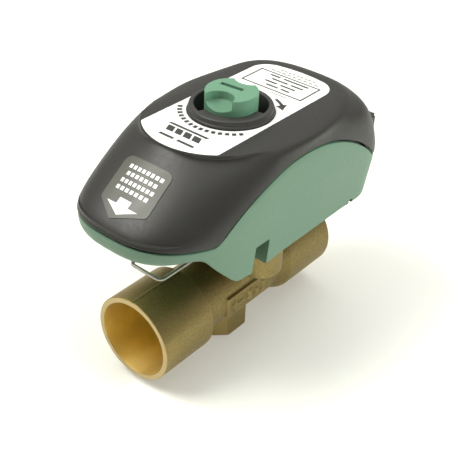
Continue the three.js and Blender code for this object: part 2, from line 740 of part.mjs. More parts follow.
function baseTray() {
  const shell = cut(
    envelope(BASE_RECESS, SKIRT_Z - 1),
    above(seamLine(-SEAM_GAP)),
    below(undersideLine(SKIRT_Z, 0)),
    rearHeel(0),
  );
  const hollow = envelope(WALL + BASE_RECESS, SKIRT_Z - 2).subtract(rearHeel(WALL));
  const upperHollow = hollow.intersect(above(undersideLine(DECK_Z + FLOOR, 2 * FLOOR)));
  const lowerHollow = hollow.intersect(below(undersideLine(DECK_Z, FLOOR)));
  let tray = cut(shell, upperHollow, lowerHollow);
  const inside = envelope(WALL, SKIRT_Z - 2);
  for (const side of [-1, 1]) {
    const wallY = side * (FULL_HALF - 2);
    const pocket = slotPrism(SLOT.wall, wallY, side * (SLOT_INNER_Y - SLOT.wall), SKIRT_Z);
    tray = tray.add(pocket.intersect(inside));
  }
  tray = join(
    tray,
    rodZ(BUSH_BOSS.r, DECK_Z, BUSH_BOSS.top),
    rodZ(COLLAR_R, SADDLE_TOP + GAP, DECK_Z + 1),
    ...PLATE_POSTS.map(([x, y]) => rodZ(SMALL_POST.r, DECK_Z + 1, PLATE.z0 - GAP, x, y, COARSE)),
    ...BOARD_POSTS.map(([x, y]) => rodZ(SMALL_POST.r, DECK_Z + 1, BOARD.z0 - GAP, x, y, COARSE)),
    ...COVER_POSTS.map(([x, y]) => coverPostFoot(x, y)),
  );
  for (const side of [-1, 1]) {
    const outerY = side * (FULL_HALF + 2);
    tray = tray.subtract(slotPrism(0, outerY, side * SLOT_INNER_Y, SKIRT_Z - 2));
    const notchY = side * (FULL_HALF - 6);
    tray = tray.subtract(spanY(NOTCH.x0, NOTCH.x1, outerY, notchY, SKIRT_Z - 2, NOTCH.z1));
    const { half, reach } = CLIP_CHANNEL;
    const channelY = [side * (CLIP_HALF - half), side * (CLIP_HALF + half)];
    tray = tray.subtract(spanY(-reach, reach, ...channelY, SADDLE_TOP, CLIP_Z + 1));
  }
  return cut(
    tray,
    rodZ(NECK_R + 0.6, SADDLE_TOP, DECK_Z + 0.5),
    rodZ(BUSH_BOSS.bore, DECK_Z, BUSH_BOSS.top + 1),
    ...PLATE_POSTS.map((post) => pilotHole(post, PLATE.z0)),
    ...BOARD_POSTS.map((post) => pilotHole(post, BOARD.z0)),
    ...COVER_POSTS.flatMap(([x, y]) => [
      rodZ(COVER_POST.headBore, 0, COVER_POST.ledge, x, y, COARSE),
      rodZ(COVER_POST.shankBore, COVER_POST.ledge - 1, COVER_POST.split, x, y, COARSE),
    ]),
  );
}

const SLOT_INNER_Y = FULL_HALF - WALL - SLOT.depth;

// The side slot's outline, grown by margin, between two Y values in either order.
function slotPrism(margin, ya, yb, bottom) {
  const { footX, headX, rearX, top } = SLOT;
  const outline = [
    [footX - margin, bottom],
    [rearX + margin, bottom],
    [rearX + margin, top + margin],
    [headX - margin, top + margin],
    [footX - margin, SKIRT_Z],
  ];
  return prismY(outline, Math.min(ya, yb), Math.max(ya, yb));
}

const pilotHole = ([x, y], top) => rodZ(SMALL_POST.pilotR, SMALL_POST.pilotFloor, top, x, y, COARSE);

// A box given by two Y values in either order.
function spanY(x0, x1, ya, yb, z0, z1) {
  return block(x0, x1, Math.min(ya, yb), Math.max(ya, yb), z0, z1);
}

// Each cover screw goes up through a tall sleeve that starts at the underside.
function coverPostFoot(x, y) {
  const line = above(undersideLine(DECK_Z, 0));
  return rodZ(COVER_POST.r + 0.6, DECK_Z, COVER_POST.split - GAP, x, y).intersect(line);
}

// What the rounded heel takes away from the tray, or from its hollow when moved in by thickness.
function rearHeel(thickness) {
  const { r, topX, topZ } = REAR_CORNER;
  const x = REAR_CORNER.x - thickness;
  const steps = 6;
  const points = [[x - r, SKIRT_Z - 4]];
  for (let i = 0; i <= steps; i++) {
    const angle = -Math.PI / 2 + (i / steps) * (Math.PI / 2);
    points.push([x - r + r * Math.cos(angle), SKIRT_Z + r + r * Math.sin(angle)]);
  }
  points.push([topX - thickness, topZ], [OUTSIDE.x, topZ], [OUTSIDE.x, SKIRT_Z - 4]);
  return prismY(points, -OUTSIDE.y, OUTSIDE.y);
}

function outputBushing() {
  return turned(
    [
      [BUSHING_BORE, DECK_Z + GAP],
      [BUSH_BOSS.bore - GAP, DECK_Z + GAP],
      [BUSH_BOSS.bore - GAP, BUSH_BOSS.top],
      [BUSHING_BORE, BUSH_BOSS.top],
    ],
    MEDIUM,
  );
}

// One length of spring wire: a cross bar under the nose and two legs that run back to the neck.
function retainingClip() {
  const route = new THREE.CurvePath();
  const point = (x, y) => new THREE.Vector3(x, y, CLIP_Z);
  const cornerX = CLIP_FRONT_X;
  const barHalf = CLIP_HALF - CLIP_BEND;
  const legX = cornerX + CLIP_BEND;
  route.add(new THREE.LineCurve3(point(CLIP_END_X, -CLIP_HALF), point(legX, -CLIP_HALF)));
  const nearBend = [point(legX, -CLIP_HALF), point(cornerX, -CLIP_HALF), point(cornerX, -barHalf)];
  route.add(new THREE.QuadraticBezierCurve3(...nearBend));
  route.add(new THREE.LineCurve3(point(cornerX, -barHalf), point(cornerX, barHalf)));
  const farBend = [point(cornerX, barHalf), point(cornerX, CLIP_HALF), point(legX, CLIP_HALF)];
  route.add(new THREE.QuadraticBezierCurve3(...farBend));
  route.add(new THREE.LineCurve3(point(legX, CLIP_HALF), point(CLIP_END_X, CLIP_HALF)));
  return tube(route, WIRE_R, 8, 36);
}

// ---------------------------------------------------------------- cover, labels and ring

function cover() {
  const shell = cut(
    envelope(0, SKIRT_Z),
    envelope(WALL, SKIRT_Z - 1),
    below(seamLine(0)),
  );
  const posts = COVER_POSTS.map(([x, y]) => {
    return rodZ(COVER_POST.r, COVER_POST.split, TOP_Z, x, y).intersect(envelope(1, DECK_Z));
  });
  const { r, top } = COVER_PILOT;
  const pilots = COVER_POSTS.map(([x, y]) => rodZ(r, DECK_Z, top, x, y, COARSE));
  const { half, z0, z1 } = BLOCK;
  const opening = block(TOP_REAR_X, OUTSIDE.x, -half - GAP, half + GAP, z0 - GAP, z1 + GAP);
  const well = rodZ(WELL_OUTER_R + GAP, WELL_FLOOR_Z, TOP_Z + 1, 0, 0, FINE);
  return cut(join(shell, ...posts), ...pilots, opening, well);
}

function shapeOf(points) {
  return new THREE.Shape(points.map(([x, y]) => new THREE.Vector2(x, y)));
}

// A label with straight sides, a strongly curved front edge and a rear edge with round corners.
function topLabel() {
  const { half, front, rear } = LABEL;
  const shape = new THREE.Shape();
  labelEnd(shape, half, rear, 1);
  labelEnd(shape, half, front, -1);
  const hole = rodZ(FLANGE_R + GAP, TOP_Z - 1, TOP_Z + 2, 0, 0, FINE);
  const bottom = TOP_Z + LABEL_GAP;
  return prismZ(shape, bottom, bottom + LABEL_THICKNESS).subtract(hole);
}

// Adds one end of the label: a corner arc, the end's own arc and the other corner arc.
function labelEnd(shape, half, { apexX, arcR, cornerR }, side) {
  const centreX = apexX - side * arcR;
  const cornerY = half - cornerR;
  const lean = Math.asin(cornerY / (arcR - cornerR));
  const cornerX = centreX + side * (arcR - cornerR) * Math.cos(lean);
  const turn = side > 0 ? 0 : Math.PI;
  shape.absarc(cornerX, -side * cornerY, cornerR, turn - Math.PI / 2, turn - lean, false);
  shape.absarc(centreX, 0, arcR, turn - lean, turn + lean, false);
  shape.absarc(cornerX, side * cornerY, cornerR, turn + lean, turn + Math.PI / 2, false);
}

// The five-sided label that follows the nose and points down to the clip.
function frontLabel() {
  const { apexX, apexZ, topX, topZ, length, shoulder, half, flare, corner } = NOSE_LABEL;
  const slope = Math.atan2(topZ - apexZ, topX - apexX);
  const farHalf = half + flare;
  const shape = shapeOf([
    [0, 0],
    [shoulder, -half],
    [length - corner, -half],
    [length, -half + corner],
    [length, farHalf - corner],
    [length - corner, farHalf],
    [shoulder, half],
  ]);
  const depth = 24;
  const geometry = new THREE.ExtrudeGeometry(shape, { depth, bevelEnabled: false });
  geometry.translate(0, 0, -depth / 2);
  geometry.rotateY(-slope);
  geometry.translate(apexX, 0, apexZ);
  const inner = envelope(-LABEL_GAP, SKIRT_Z - 1);
  const skin = envelope(-LABEL_GAP - LABEL_THICKNESS, SKIRT_Z).subtract(inner);
  const noseOnly = block(-OUTSIDE.x, topX + 2, -OUTSIDE.y, OUTSIDE.y, NOSE_SEAM_Z, OUTSIDE.z);
  return skin.intersect(toSolid(geometry)).intersect(noseOnly);
}

// The well that the knob sits in, with its raised round rim.
function collarRing() {
  const floorUnderside = WELL_FLOOR_Z - 1.5;
  const shaftHole = SHAFT_R + 0.5;
  return turned([
    [shaftHole, floorUnderside],
    [WELL_OUTER_R, floorUnderside],
    [WELL_OUTER_R, TOP_Z + GAP],
    [FLANGE_R, TOP_Z + GAP],
    [FLANGE_R, TOP_Z + 1.1],
    [RING_R, TOP_Z + 1.5],
    [RING_R, RING_TOP - 0.6],
    [RING_R - 0.5, RING_TOP],
    [WELL_R + 0.3, RING_TOP],
    [WELL_R, RING_TOP - 0.4],
    [WELL_R, WELL_FLOOR_Z],
    [shaftHole, WELL_FLOOR_Z],
  ]);
}

// ---------------------------------------------------------------- knob and output shaft

// A round knob with a deep finger scoop at the front, a shallow one behind and a driver slot.
function overrideKnob() {
  const body = turned([
    [0, KNOB_BOTTOM],
    [KNOB_R, KNOB_BOTTOM],
    [KNOB_R, KNOB_TOP - KNOB_EDGE],
    [KNOB_R - KNOB_EDGE * 0.3, KNOB_TOP - KNOB_EDGE * 0.3],
    [KNOB_R - KNOB_EDGE, KNOB_TOP],
    [0, KNOB_TOP],
  ]);
  const { x: frontX, r: frontR, floor, dishR, dishDepth } = FRONT_SCOOP;
  const scoop = rodZ(frontR, floor, KNOB_TOP + 1, frontX, 0, FINE);
  const dish = new THREE.SphereGeometry(dishR, FINE, 24);
  dish.translate(frontX, 0, floor + dishR - dishDepth);
  const dishCut = toSolid(dish).intersect(rodZ(frontR, floor - 3, floor + 1, frontX, 0, FINE));
  const rear = rodZ(REAR_SCOOP.r, REAR_SCOOP.floor, KNOB_TOP + 1, REAR_SCOOP.x, 0, FINE);
  const { x, y, half, halfWidth, depth } = DRIVER_SLOT;
  const slot = block(x - halfWidth, x + halfWidth, y - half, y + half, KNOB_TOP - depth, KNOB_TOP + 1);
  const turnDegrees = THREE.MathUtils.radToDeg(KNOB_TURN);
  const features = join(scoop, dishCut, rear, slot).rotate([0, 0, turnDegrees]);
  return cut(
    body,
    features,
    rodZ(KNOB_BORE.pocketR, KNOB_BOTTOM - 1, KNOB_BORE.pocketTop),
    driveSection(SHAFT_R + GAP, KNOB_BOTTOM - 1, KNOB_BORE.top),
  );
}

// A round rod with a flat on each side, as the knob's bore and the shaft's end are.
function driveSection(r, z0, z1) {
  return cut(rodZ(r, z0, z1), ...beyond(r - FLAT_DEPTH, z0 - 1, z1 + 1));
}

function outputShaft() {
  const lower = rodZ(SHAFT_R, COUPLING.top + GAP, SHAFT_FLATS_Z);
  return lower.add(driveSection(SHAFT_R, SHAFT_FLATS_Z - 0.5, SHAFT_TOP));
}

// The socket that drops over the flats of the valve stem.
function driveCoupling() {
  const { r, z0, hubR, top, socketTop } = COUPLING;
  const body = rodZ(r, z0, OUTPUT.z0 - GAP).add(rodZ(hubR, OUTPUT.z0 - 1, top));
  const flats = beyond(STEM_FLATS_HALF + GAP, z0 - 2, socketTop + 1);
  const socket = cut(rodZ(STEM_R + GAP, z0 - 1, socketTop), ...flats);
  return body.subtract(socket);
}

function knobSpring() {
  const { r, wireR, z0, height, turns } = SPRING;
  class Helix extends THREE.Curve {
    getPoint(t, target = new THREE.Vector3()) {
      const angle = t * turns * 2 * Math.PI;
      return target.set(r * Math.cos(angle), r * Math.sin(angle), z0 + height * t);
    }
  }
  return tube(new Helix(), wireR, 5, 32);
}

// ---------------------------------------------------------------- gear train

// Involute outline with a tooth centred at the angle given.
function gearShape(teeth, module, phase) {
  const pitchR = (module * teeth) / 2;
  const baseR = pitchR * Math.cos(PRESSURE_ANGLE);
  const tipR = pitchR + ADDENDUM * module;
  const rootR = pitchR - DEDENDUM * module;
  const involute = (angle) => Math.tan(angle) - angle;
  const halfAt = (r) => {
    const angle = Math.acos(Math.min(1, baseR / r));
    return (TOOTH_SHARE * Math.PI) / teeth + involute(PRESSURE_ANGLE) - involute(angle);
  };
  const lowR = Math.max(baseR, rootR);
  const flank = [
    [rootR, halfAt(lowR)],
    [tipR, halfAt(tipR)],
  ];
  const points = [];
  for (let i = 0; i < teeth; i++) {
    const middle = phase + (i / teeth) * 2 * Math.PI;
    for (const [r, half] of flank) points.push([middle - half, r]);
    for (const [r, half] of [...flank].reverse()) points.push([middle + half, r]);
  }
  return shapeOf(points.map(([angle, r]) => [r * Math.cos(angle), r * Math.sin(angle)]));
}

function wheel(stage, teeth, phase, z0, z1) {
  return prismZ(gearShape(teeth, stage.module, phase), z0, z1);
}

// A pinion has a gap, not a tooth, towards the wheel that it meets.
const pinionPhase = (towards) => towards + Math.PI + Math.PI / PINION_TEETH;

function outputGear() {
  const gear = wheel(OUTPUT, OUTPUT.teeth, IDLER_1_ANGLE, OUTPUT.z0, OUTPUT.z1);
  const below = OUTPUT.z0 - 1;
  const recess = rodZ(COUPLING.hubR + GAP, below, COUPLING.top + GAP);
  return cut(gear, recess, rodZ(SHAFT_R + GAP, below, OUTPUT.z1 + 1));
}

// A large wheel and a pinion moulded as one, on the local Z axis.
function idlerGear(wheelStage, wheelTowards, pinionStage, pinionTowards) {
  const big = wheel(wheelStage, wheelStage.teeth, wheelTowards, wheelStage.z0, wheelStage.z1);
  const phase = pinionPhase(pinionTowards);
  const small = wheel(pinionStage, PINION_TEETH, phase, pinionStage.z0, wheelStage.z0 + 0.5);
  const bore = rodZ(PIN_R + GAP, DECK_Z, PLATE.z1, 0, 0, COARSE);
  return big.add(small).subtract(bore);
}

function motorPinion() {
  const phase = pinionPhase(MOTOR_ANGLE);
  const overlap = 0.4;
  const teeth = wheel(STAGE_3, PINION_TEETH, phase, STAGE_3.z0 - overlap, STAGE_3.z1 + overlap);
  return teeth.add(rodZ(PIN_R, STAGE_3.z1, MOTOR.z0 + 4, 0, 0, COARSE));
}

const fromPolar = (origin, angle, distance) => [
  origin[0] + distance * Math.cos(angle),
  origin[1] + distance * Math.sin(angle),
];
const IDLER_1 = fromPolar([0, 0], IDLER_1_ANGLE, centreDistance(OUTPUT));
const IDLER_2 = fromPolar(IDLER_1, IDLER_2_ANGLE, centreDistance(STAGE_2));
const MOTOR_AXIS = fromPolar(IDLER_2, MOTOR_ANGLE, centreDistance(STAGE_3));
const MOTOR_SCREWS = [1, -1].map((side) => [MOTOR_AXIS[0], MOTOR_AXIS[1] + side * MOTOR.earY]);

// A hole of radius r at (x, y), right through a flat piece.
const hole = (r, [x, y], { z0, z1 }, sides = COARSE) => rodZ(r, z0 - 1, z1 + 1, x, y, sides);

function gearPlate() {
  const { rearX, midX, frontX } = PLATE;
  const { rear, mid, front } = PLATE_HALF;
  const outline = shapeOf([
    [rearX, -rear],
    [rearX, rear],
    [midX, mid],
    [frontX, front],
    [frontX, -front],
    [midX, -mid],
  ]);
  const pinionClearance = 3.4;
  return cut(
    prismZ(outline, PLATE.z0, PLATE.z1),
    hole(SHAFT_R + 1.5, [0, 0], PLATE, MEDIUM),
    hole(pinionClearance, MOTOR_AXIS, PLATE, MEDIUM),
    hole(PIN_R + GAP, IDLER_1, PLATE),
    hole(PIN_R + GAP, IDLER_2, PLATE),
    ...PLATE_POSTS.map((post) => hole(SCREW_HOLE_R, post, PLATE)),
    ...MOTOR_SCREWS.map((post) => hole(MOTOR_SCREW.shankR + GAP, post, PLATE)),
  );
}

function motor() {
  const [x, y] = MOTOR_AXIS;
  const { z0, z1, earY, strapHalf, strapHeight } = MOTOR;
  const can = rodZ(MOTOR.r, z0, z1, x, y);
  const reach = earY + strapHalf;
  const strap = roundedBox(x - strapHalf, x + strapHalf, y - reach, y + reach, strapHalf - 0.1);
  return cut(
    join(can, prismZ(strap, z0, z0 + strapHeight)),
    rodZ(PIN_R + GAP, z0 - 1, z0 + 5, x, y, COARSE),
    ...MOTOR_SCREWS.map((place) => hole(SCREW_HOLE_R, place, MOTOR)),
  );
}

// ---------------------------------------------------------------- electronics

function circuitBoard() {
  const { x0, x1, half, z0, z1 } = BOARD;
  const board = block(x0, x1, -half, half, z0, z1);
  return cut(board, ...BOARD_POSTS.map((post) => hole(SCREW_HOLE_R, post, BOARD)));
}

function capacitor(side) {
  const { x, y, r, height } = CAPACITOR;
  return rodZ(r, BOARD.z1 + GAP, BOARD.z1 + height, x, side * y);
}

// A square component that stands on the board.
function onBoard({ x0, x1, y0, y1, height }) {
  return block(x0, x1, y0, y1, BOARD.z1 + GAP, BOARD.z1 + height);
}

const leverY = (i) => (i - (LEVERS - 1) / 2) * LEVER_PITCH;

function trunnion(y, clearance) {
  const { x, z, r, reach } = TRUNNION;
  const geometry = new THREE.CylinderGeometry(r + clearance, r + clearance, 2 * (reach + clearance), 8);
  geometry.translate(x, y, z);
  return toSolid(geometry);
}

function terminalBlock() {
  const { x0, x1, half, z0, z1 } = BLOCK;
  let solid = block(x0, x1, -half, half, z0, z1);
  for (let i = 0; i < LEVERS; i++) {
    const y = leverY(i);
    const slotHalf = LEVER.half + GAP;
    const slotX = LEVER.x0 - GAP;
    const slot = block(slotX, x1 + 1, y - slotHalf, y + slotHalf, LEVER_SLOT_FLOOR, z1 + 1);
    const { depth, half: holeHalf, z0: holeZ0, z1: holeZ1 } = WIRE_HOLE;
    const wireHole = block(x1 - depth, x1 + 1, y - holeHalf, y + holeHalf, holeZ0, holeZ1);
    solid = cut(solid, slot, wireHole, trunnion(y, GAP));
  }
  return solid;
}

function terminalLever(i) {
  const y = leverY(i);
  const { x0, x1, half, z0, z1, lip, step } = LEVER;
  const side = [
    [x0, z0],
    [x1 - step, z0],
    [x1, z0 + step],
    [x1, z1],
    [x1 - lip, z1],
    [x1 - lip - step, z1 - step],
    [x0, z1 - step],
  ];
  return prismY(side, y - half, y + half).add(trunnion(y, 0));
}

// ---------------------------------------------------------------- screws

// A pan-head screw with its head at the top, or at the bottom when drop is -1.
function screw([x, y], seatZ, { headR, headH, shankR, length }, drop = 1) {
  const head = rodZ(headR, 0, headH, 0, 0, COARSE);
  const shank = rodZ(shankR, -length, 0.1, 0, 0, COARSE);
  const crossHalf = 0.3;
  const arm = headR * 0.6;
  const floor = headH * 0.5;
  const cross = join(
    block(-crossHalf, crossHalf, -arm, arm, floor, headH + 1),
    block(-arm, arm, -crossHalf, crossHalf, floor, headH + 1),
  );
  const upright = cut(head.add(shank), cross);
  const turnedOver = drop > 0 ? upright : upright.rotate([180, 0, 0]);
  return turnedOver.translate([x, y, seatZ]);
}

// ---------------------------------------------------------------- the assembly

const finish = (color, roughness, metalness = 0) =>
  new THREE.MeshStandardMaterial({ color, roughness, metalness });
const CAST_BRASS = finish(0x94783f, 0.45, 0.9);
const TURNED_BRASS = finish(0xb08c46, 0.35, 0.9);
const CHROME = finish(0xc9ccd0, 0.12, 1);
const STEEL = finish(0xa7a9aa, 0.3, 1);
const SEAT_WHITE = finish(0xe9e7df, 0.5);
const RUBBER = finish(0x1c1c1c, 0.8);
const GREEN = finish(0x85a892, 0.45);
const KNOB_GREEN = finish(0x6fa388, 0.4);
const CHARCOAL = finish(0x413f3c, 0.5);
const BLACK = finish(0x161616, 0.45);
const LABEL_WHITE = finish(0xe4e3de, 0.4);
const LABEL_GREY = finish(0x7d7c73, 0.4);
const ACETAL = finish(0xdedbd0, 0.5);
const BOARD_GREEN = finish(0x1f5a3a, 0.5);
const SLEEVE = finish(0x26303a, 0.4);

const zoneValve = new THREE.Group();

function place(name, solid, material, parent = zoneValve, position = [0, 0, 0]) {
  const mesh = new THREE.Mesh(toGeometry(solid), material);
  mesh.name = name;
  mesh.position.set(...position);
  parent.add(mesh);
}

const valve = new THREE.Group();
const actuator = new THREE.Group();
zoneValve.add(valve, actuator);

place("valve_body", valveBody(), CAST_BRASS, valve);
place("end_piece", endPiece(), TURNED_BRASS, valve);
place("end_seal", endSeal(), RUBBER, valve);
place("seat_front", seat(-1), SEAT_WHITE, valve);
place("seat_rear", seat(1), SEAT_WHITE, valve);
place("ball", ball(), CHROME, valve);
place("valve_stem", valveStem(), STEEL, valve);
place("thrust_washer", thrustWasher(), SEAT_WHITE, valve);
STEM_SEAL_Z.forEach((z, i) => {
  place(`stem_seal_${i + 1}`, sealRing(z, STEM_SEAL), RUBBER, valve);
});

place("base_tray", baseTray(), GREEN, actuator);
place("cover", cover(), CHARCOAL, actuator);
place("collar_ring", collarRing(), BLACK, actuator);
place("top_label", topLabel(), LABEL_WHITE, actuator);
place("front_label", frontLabel(), LABEL_GREY, actuator);
place("retaining_clip", retainingClip(), STEEL, actuator);
place("output_bushing", outputBushing(), ACETAL, actuator);
place("drive_coupling", driveCoupling(), STEEL, actuator);
place("output_shaft", outputShaft(), STEEL, actuator);
place("output_gear", outputGear(), ACETAL, actuator);
place("override_knob", overrideKnob(), KNOB_GREEN, actuator);
place("knob_spring", knobSpring(), STEEL, actuator);

const idler1 = idlerGear(STAGE_2, IDLER_2_ANGLE, OUTPUT, IDLER_1_ANGLE);
const idler2 = idlerGear(STAGE_3, MOTOR_ANGLE, STAGE_2, IDLER_2_ANGLE);
place("idler_gear_1", idler1, ACETAL, actuator, [...IDLER_1, 0]);
place("idler_gear_2", idler2, ACETAL, actuator, [...IDLER_2, 0]);
place("motor_pinion", motorPinion(), TURNED_BRASS, actuator, [...MOTOR_AXIS, 0]);
[IDLER_1, IDLER_2].forEach(([x, y], i) => {
  const pin = rodZ(PIN_R, DECK_Z + FLOOR + GAP, PLATE.z1, x, y, COARSE);
  place(`idler_pin_${i + 1}`, pin, STEEL, actuator);
});
place("gear_plate", gearPlate(), STEEL, actuator);
place("motor", motor(), STEEL, actuator);

place("circuit_board", circuitBoard(), BOARD_GREEN, actuator);
place("capacitor_1", capacitor(-1), SLEEVE, actuator);
place("capacitor_2", capacitor(1), SLEEVE, actuator);
place("relay", onBoard(RELAY), BLACK, actuator);
place("controller_chip", onBoard(CHIP), BLACK, actuator);
place("terminal_block", terminalBlock(), BLACK, actuator);
for (let i = 0; i < LEVERS; i++) {
  place(`terminal_lever_${i + 1}`, terminalLever(i), BLACK, actuator);
}

// Screws: the cover's go up from below, and the others down from above.
const fasteners = [
  ["cover_screw", COVER_POSTS, COVER_POST.ledge - GAP, COVER_SCREW, -1],
  ["plate_screw", PLATE_POSTS, PLATE.z1 + GAP, PLATE_SCREW, 1],
  ["motor_screw", MOTOR_SCREWS, MOTOR.z0 + MOTOR.strapHeight + GAP, MOTOR_SCREW, 1],
  ["board_screw", BOARD_POSTS, BOARD.z1 + GAP, BOARD_SCREW, 1],
];
for (const [name, places, seatZ, size, drop] of fasteners) {
  places.forEach((at, i) => place(`${name}_${i + 1}`, screw(at, seatZ, size, drop), STEEL, actuator));
}

export default zoneValve;
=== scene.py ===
import json
from math import acos, asin, atan2, ceil, cos, hypot, pi, radians, sin, sqrt, tan

import bmesh
import bpy
import numpy as np
from mathutils import Matrix, Vector
from mathutils.bvhtree import BVHTree


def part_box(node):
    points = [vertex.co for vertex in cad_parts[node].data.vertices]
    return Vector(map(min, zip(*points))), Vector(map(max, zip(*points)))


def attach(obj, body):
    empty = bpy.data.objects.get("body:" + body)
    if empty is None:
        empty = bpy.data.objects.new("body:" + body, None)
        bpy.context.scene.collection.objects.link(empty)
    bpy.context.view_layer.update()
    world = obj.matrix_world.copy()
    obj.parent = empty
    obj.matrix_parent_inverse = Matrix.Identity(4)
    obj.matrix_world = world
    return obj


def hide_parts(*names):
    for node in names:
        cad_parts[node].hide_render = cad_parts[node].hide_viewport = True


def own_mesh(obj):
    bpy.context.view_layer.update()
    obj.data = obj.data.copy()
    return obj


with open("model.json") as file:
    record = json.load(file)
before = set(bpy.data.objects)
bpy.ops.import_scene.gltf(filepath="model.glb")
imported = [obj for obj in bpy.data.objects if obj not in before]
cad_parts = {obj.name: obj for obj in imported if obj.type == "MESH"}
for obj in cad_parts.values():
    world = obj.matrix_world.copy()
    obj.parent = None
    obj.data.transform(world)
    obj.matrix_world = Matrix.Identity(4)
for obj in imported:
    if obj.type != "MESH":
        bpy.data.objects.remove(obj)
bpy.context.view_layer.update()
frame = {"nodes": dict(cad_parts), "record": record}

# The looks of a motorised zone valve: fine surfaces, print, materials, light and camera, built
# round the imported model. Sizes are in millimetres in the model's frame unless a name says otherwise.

MM = 0.001
scene = bpy.context.scene


def corners(node):
    """The lowest and highest corner of a node, in millimetres."""
    low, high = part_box(node)
    return [c / MM for c in low], [c / MM for c in high]


# ---------- sizes

COVER_HIGH = corners("cover")[1]
BODY_HIGH = corners("valve_body")[1]
END_LOW, END_HIGH = corners("end_piece")
KNOB_LOW, KNOB_HIGH = corners("override_knob")
RING_HIGH = corners("collar_ring")[1]

TOP_Z = COVER_HIGH[2]
FULL_HALF = 30.07
FULL_FRONT_X = -60.14
FULL_REAR_X = 57.8
SEAM_LEVEL = 68.5
REAR_LEVEL = 61.9
TOP_HALF = 17.1
TOP_FRONT_X = -33.4
TOP_REAR_X = 43.0
SIDE_ROUND = 3.4
REAR_ROUND = 2.2
NOSE_POWER = 1.42
NOSE_END = 0.45
NOSE_FALL = 1.2
SIDE_DRAFT = 0.077
# the shoulders stand out beside the knob and draw in at the rear: share of the width, X and reach
SHOULDER_SWELL = [(0.105, 9, 17), (-0.075, 42, 10)]
SWELL_LEVEL = 0.1
REAR_DRAFT = 0.2
WALL = 2.2
CREST_ARC = 24.95
CREST_APEX_X = -33.5
CREST_SIDE_X = -16.0

ARCH_X, ARCH_Z, ARCH_R = 4.6, 20.1, 63.8
NOSE_SEAM_Z = 69.9
KINK_X, KINK_Z = -38.3, 67.3
REAR_SEAM_Z = 64.8
SEAM_GAP = 1.0
BASE_RECESS = 0.35

BAND_Z = 64.2
BAND_LOW_Z = 61.7
SKIRT_Z = 46.6
DECK_Z = 50.0
TONGUE_X, TONGUE_SLOPE = -44.5, -1.054
HEEL_X, HEEL_R, HEEL_SLOPE = 51.5, 5.6, 1.28
SLOT_FOOT_X, SLOT_HEAD_X, SLOT_REAR_X, SLOT_TOP, SLOT_DEPTH = -20.0, -19.6, -12.4, 57.6, 7.2
NOTCH_X0, NOTCH_X1, NOTCH_TOP = 38.5, 40.7, 48.6
# screw posts: places, radius, bore and top
POSTS = [
    ([(-38, -19.5), (-38, 19.5), (34, -22.4), (34, 22.4)], 4.2, 3.1, 71.7),
    ([(12, -19), (12, 19), (-24, -16)], 2.6, 1.1, 66.7),
    ([(22, -14), (22, 14)], 2.6, 1.1, 65.6),
]

AXIS_Z = 20.0
SOCKET_R = 14.35
SOCKET_OUTER_R = END_HIGH[1]
SOCKET_DEPTH = 23.0
FRONT_END_X = END_LOW[0]
REAR_END_X = BODY_HIGH[0]
PARTING_X = -25.0
BARREL_R = 13.2
CAVITY_R = 11.6
WATERWAY_R = 8.0
SEAT_X = 10.5
BALL_R = 10.3
BALL_BORE_R = 6.5
STEM_R = 3.5
NECK_R = 6.2
NECK_TOP = BODY_HIGH[2]
GROOVE_R = 5.4
CLIP_Z = 45.7
SADDLE_X, SADDLE_END_Y, SADDLE_R = -0.6, 16.9, 8.0
SADDLE_BOTTOM, SADDLE_TOP = 32.6, 44.2
BOSS_X, BOSS_HALF, BOSS_CHAMFER = -2.6, 9.5, 4.6
PANEL_X0, PANEL_X1, PANEL_Z0, PANEL_Z1, PANEL_Y = -14.0, 12.0, 15.0, 23.6, 13.9

KNOB_R = KNOB_HIGH[1]
KNOB_BOTTOM, KNOB_TOP = KNOB_LOW[2], KNOB_HIGH[2]
KNOB_TURN = radians(5)
WELL_R = 12.7
WELL_OUTER_R = 13.6
WELL_FLOOR_Z = 81.5
RING_R = 14.54
RING_TOP = RING_HIGH[2]
FLANGE_R = 15.0
SHELF_Z = 93.0

LABEL_HALF = 16.75
LABEL_Z = corners("top_label")[1][2]

# ---------- mesh tools


def mix(a, b, t):
    return a + (b - a) * t


def smooth_max(a, b, width):
    return (a + b + np.sqrt((a - b) ** 2 + width**2)) / 2


def smooth_min(a, b, width):
    return -smooth_max(-a, -b, width)


def mesh_object(name, points, faces):
    """A closed mesh from points in millimetres, with its faces pointing out."""
    mesh = bpy.data.meshes.new(name)
    mesh.from_pydata([tuple(p) for p in np.asarray(points, float) * MM], [], faces)
    work = bmesh.new()
    work.from_mesh(mesh)
    bmesh.ops.remove_doubles(work, verts=work.verts, dist=1e-7)
    bmesh.ops.dissolve_degenerate(work, edges=work.edges, dist=1e-7)
    bmesh.ops.recalc_face_normals(work, faces=work.faces)
    work.to_mesh(mesh)
    work.free()
    obj = bpy.data.objects.new(name, mesh)
    scene.collection.objects.link(obj)
    return obj


def ring_faces(rows, columns, closed_rows=False):
    """Quads of a grid of rows of points, where each row closes on itself."""
    faces = []
    for r in range(rows if closed_rows else rows - 1):
        for c in range(columns):
            a, b = r * columns + c, r * columns + (c + 1) % columns
            lower = ((r + 1) % rows) * columns
            faces.append((a, b, lower + (c + 1) % columns, lower + c))
    return faces


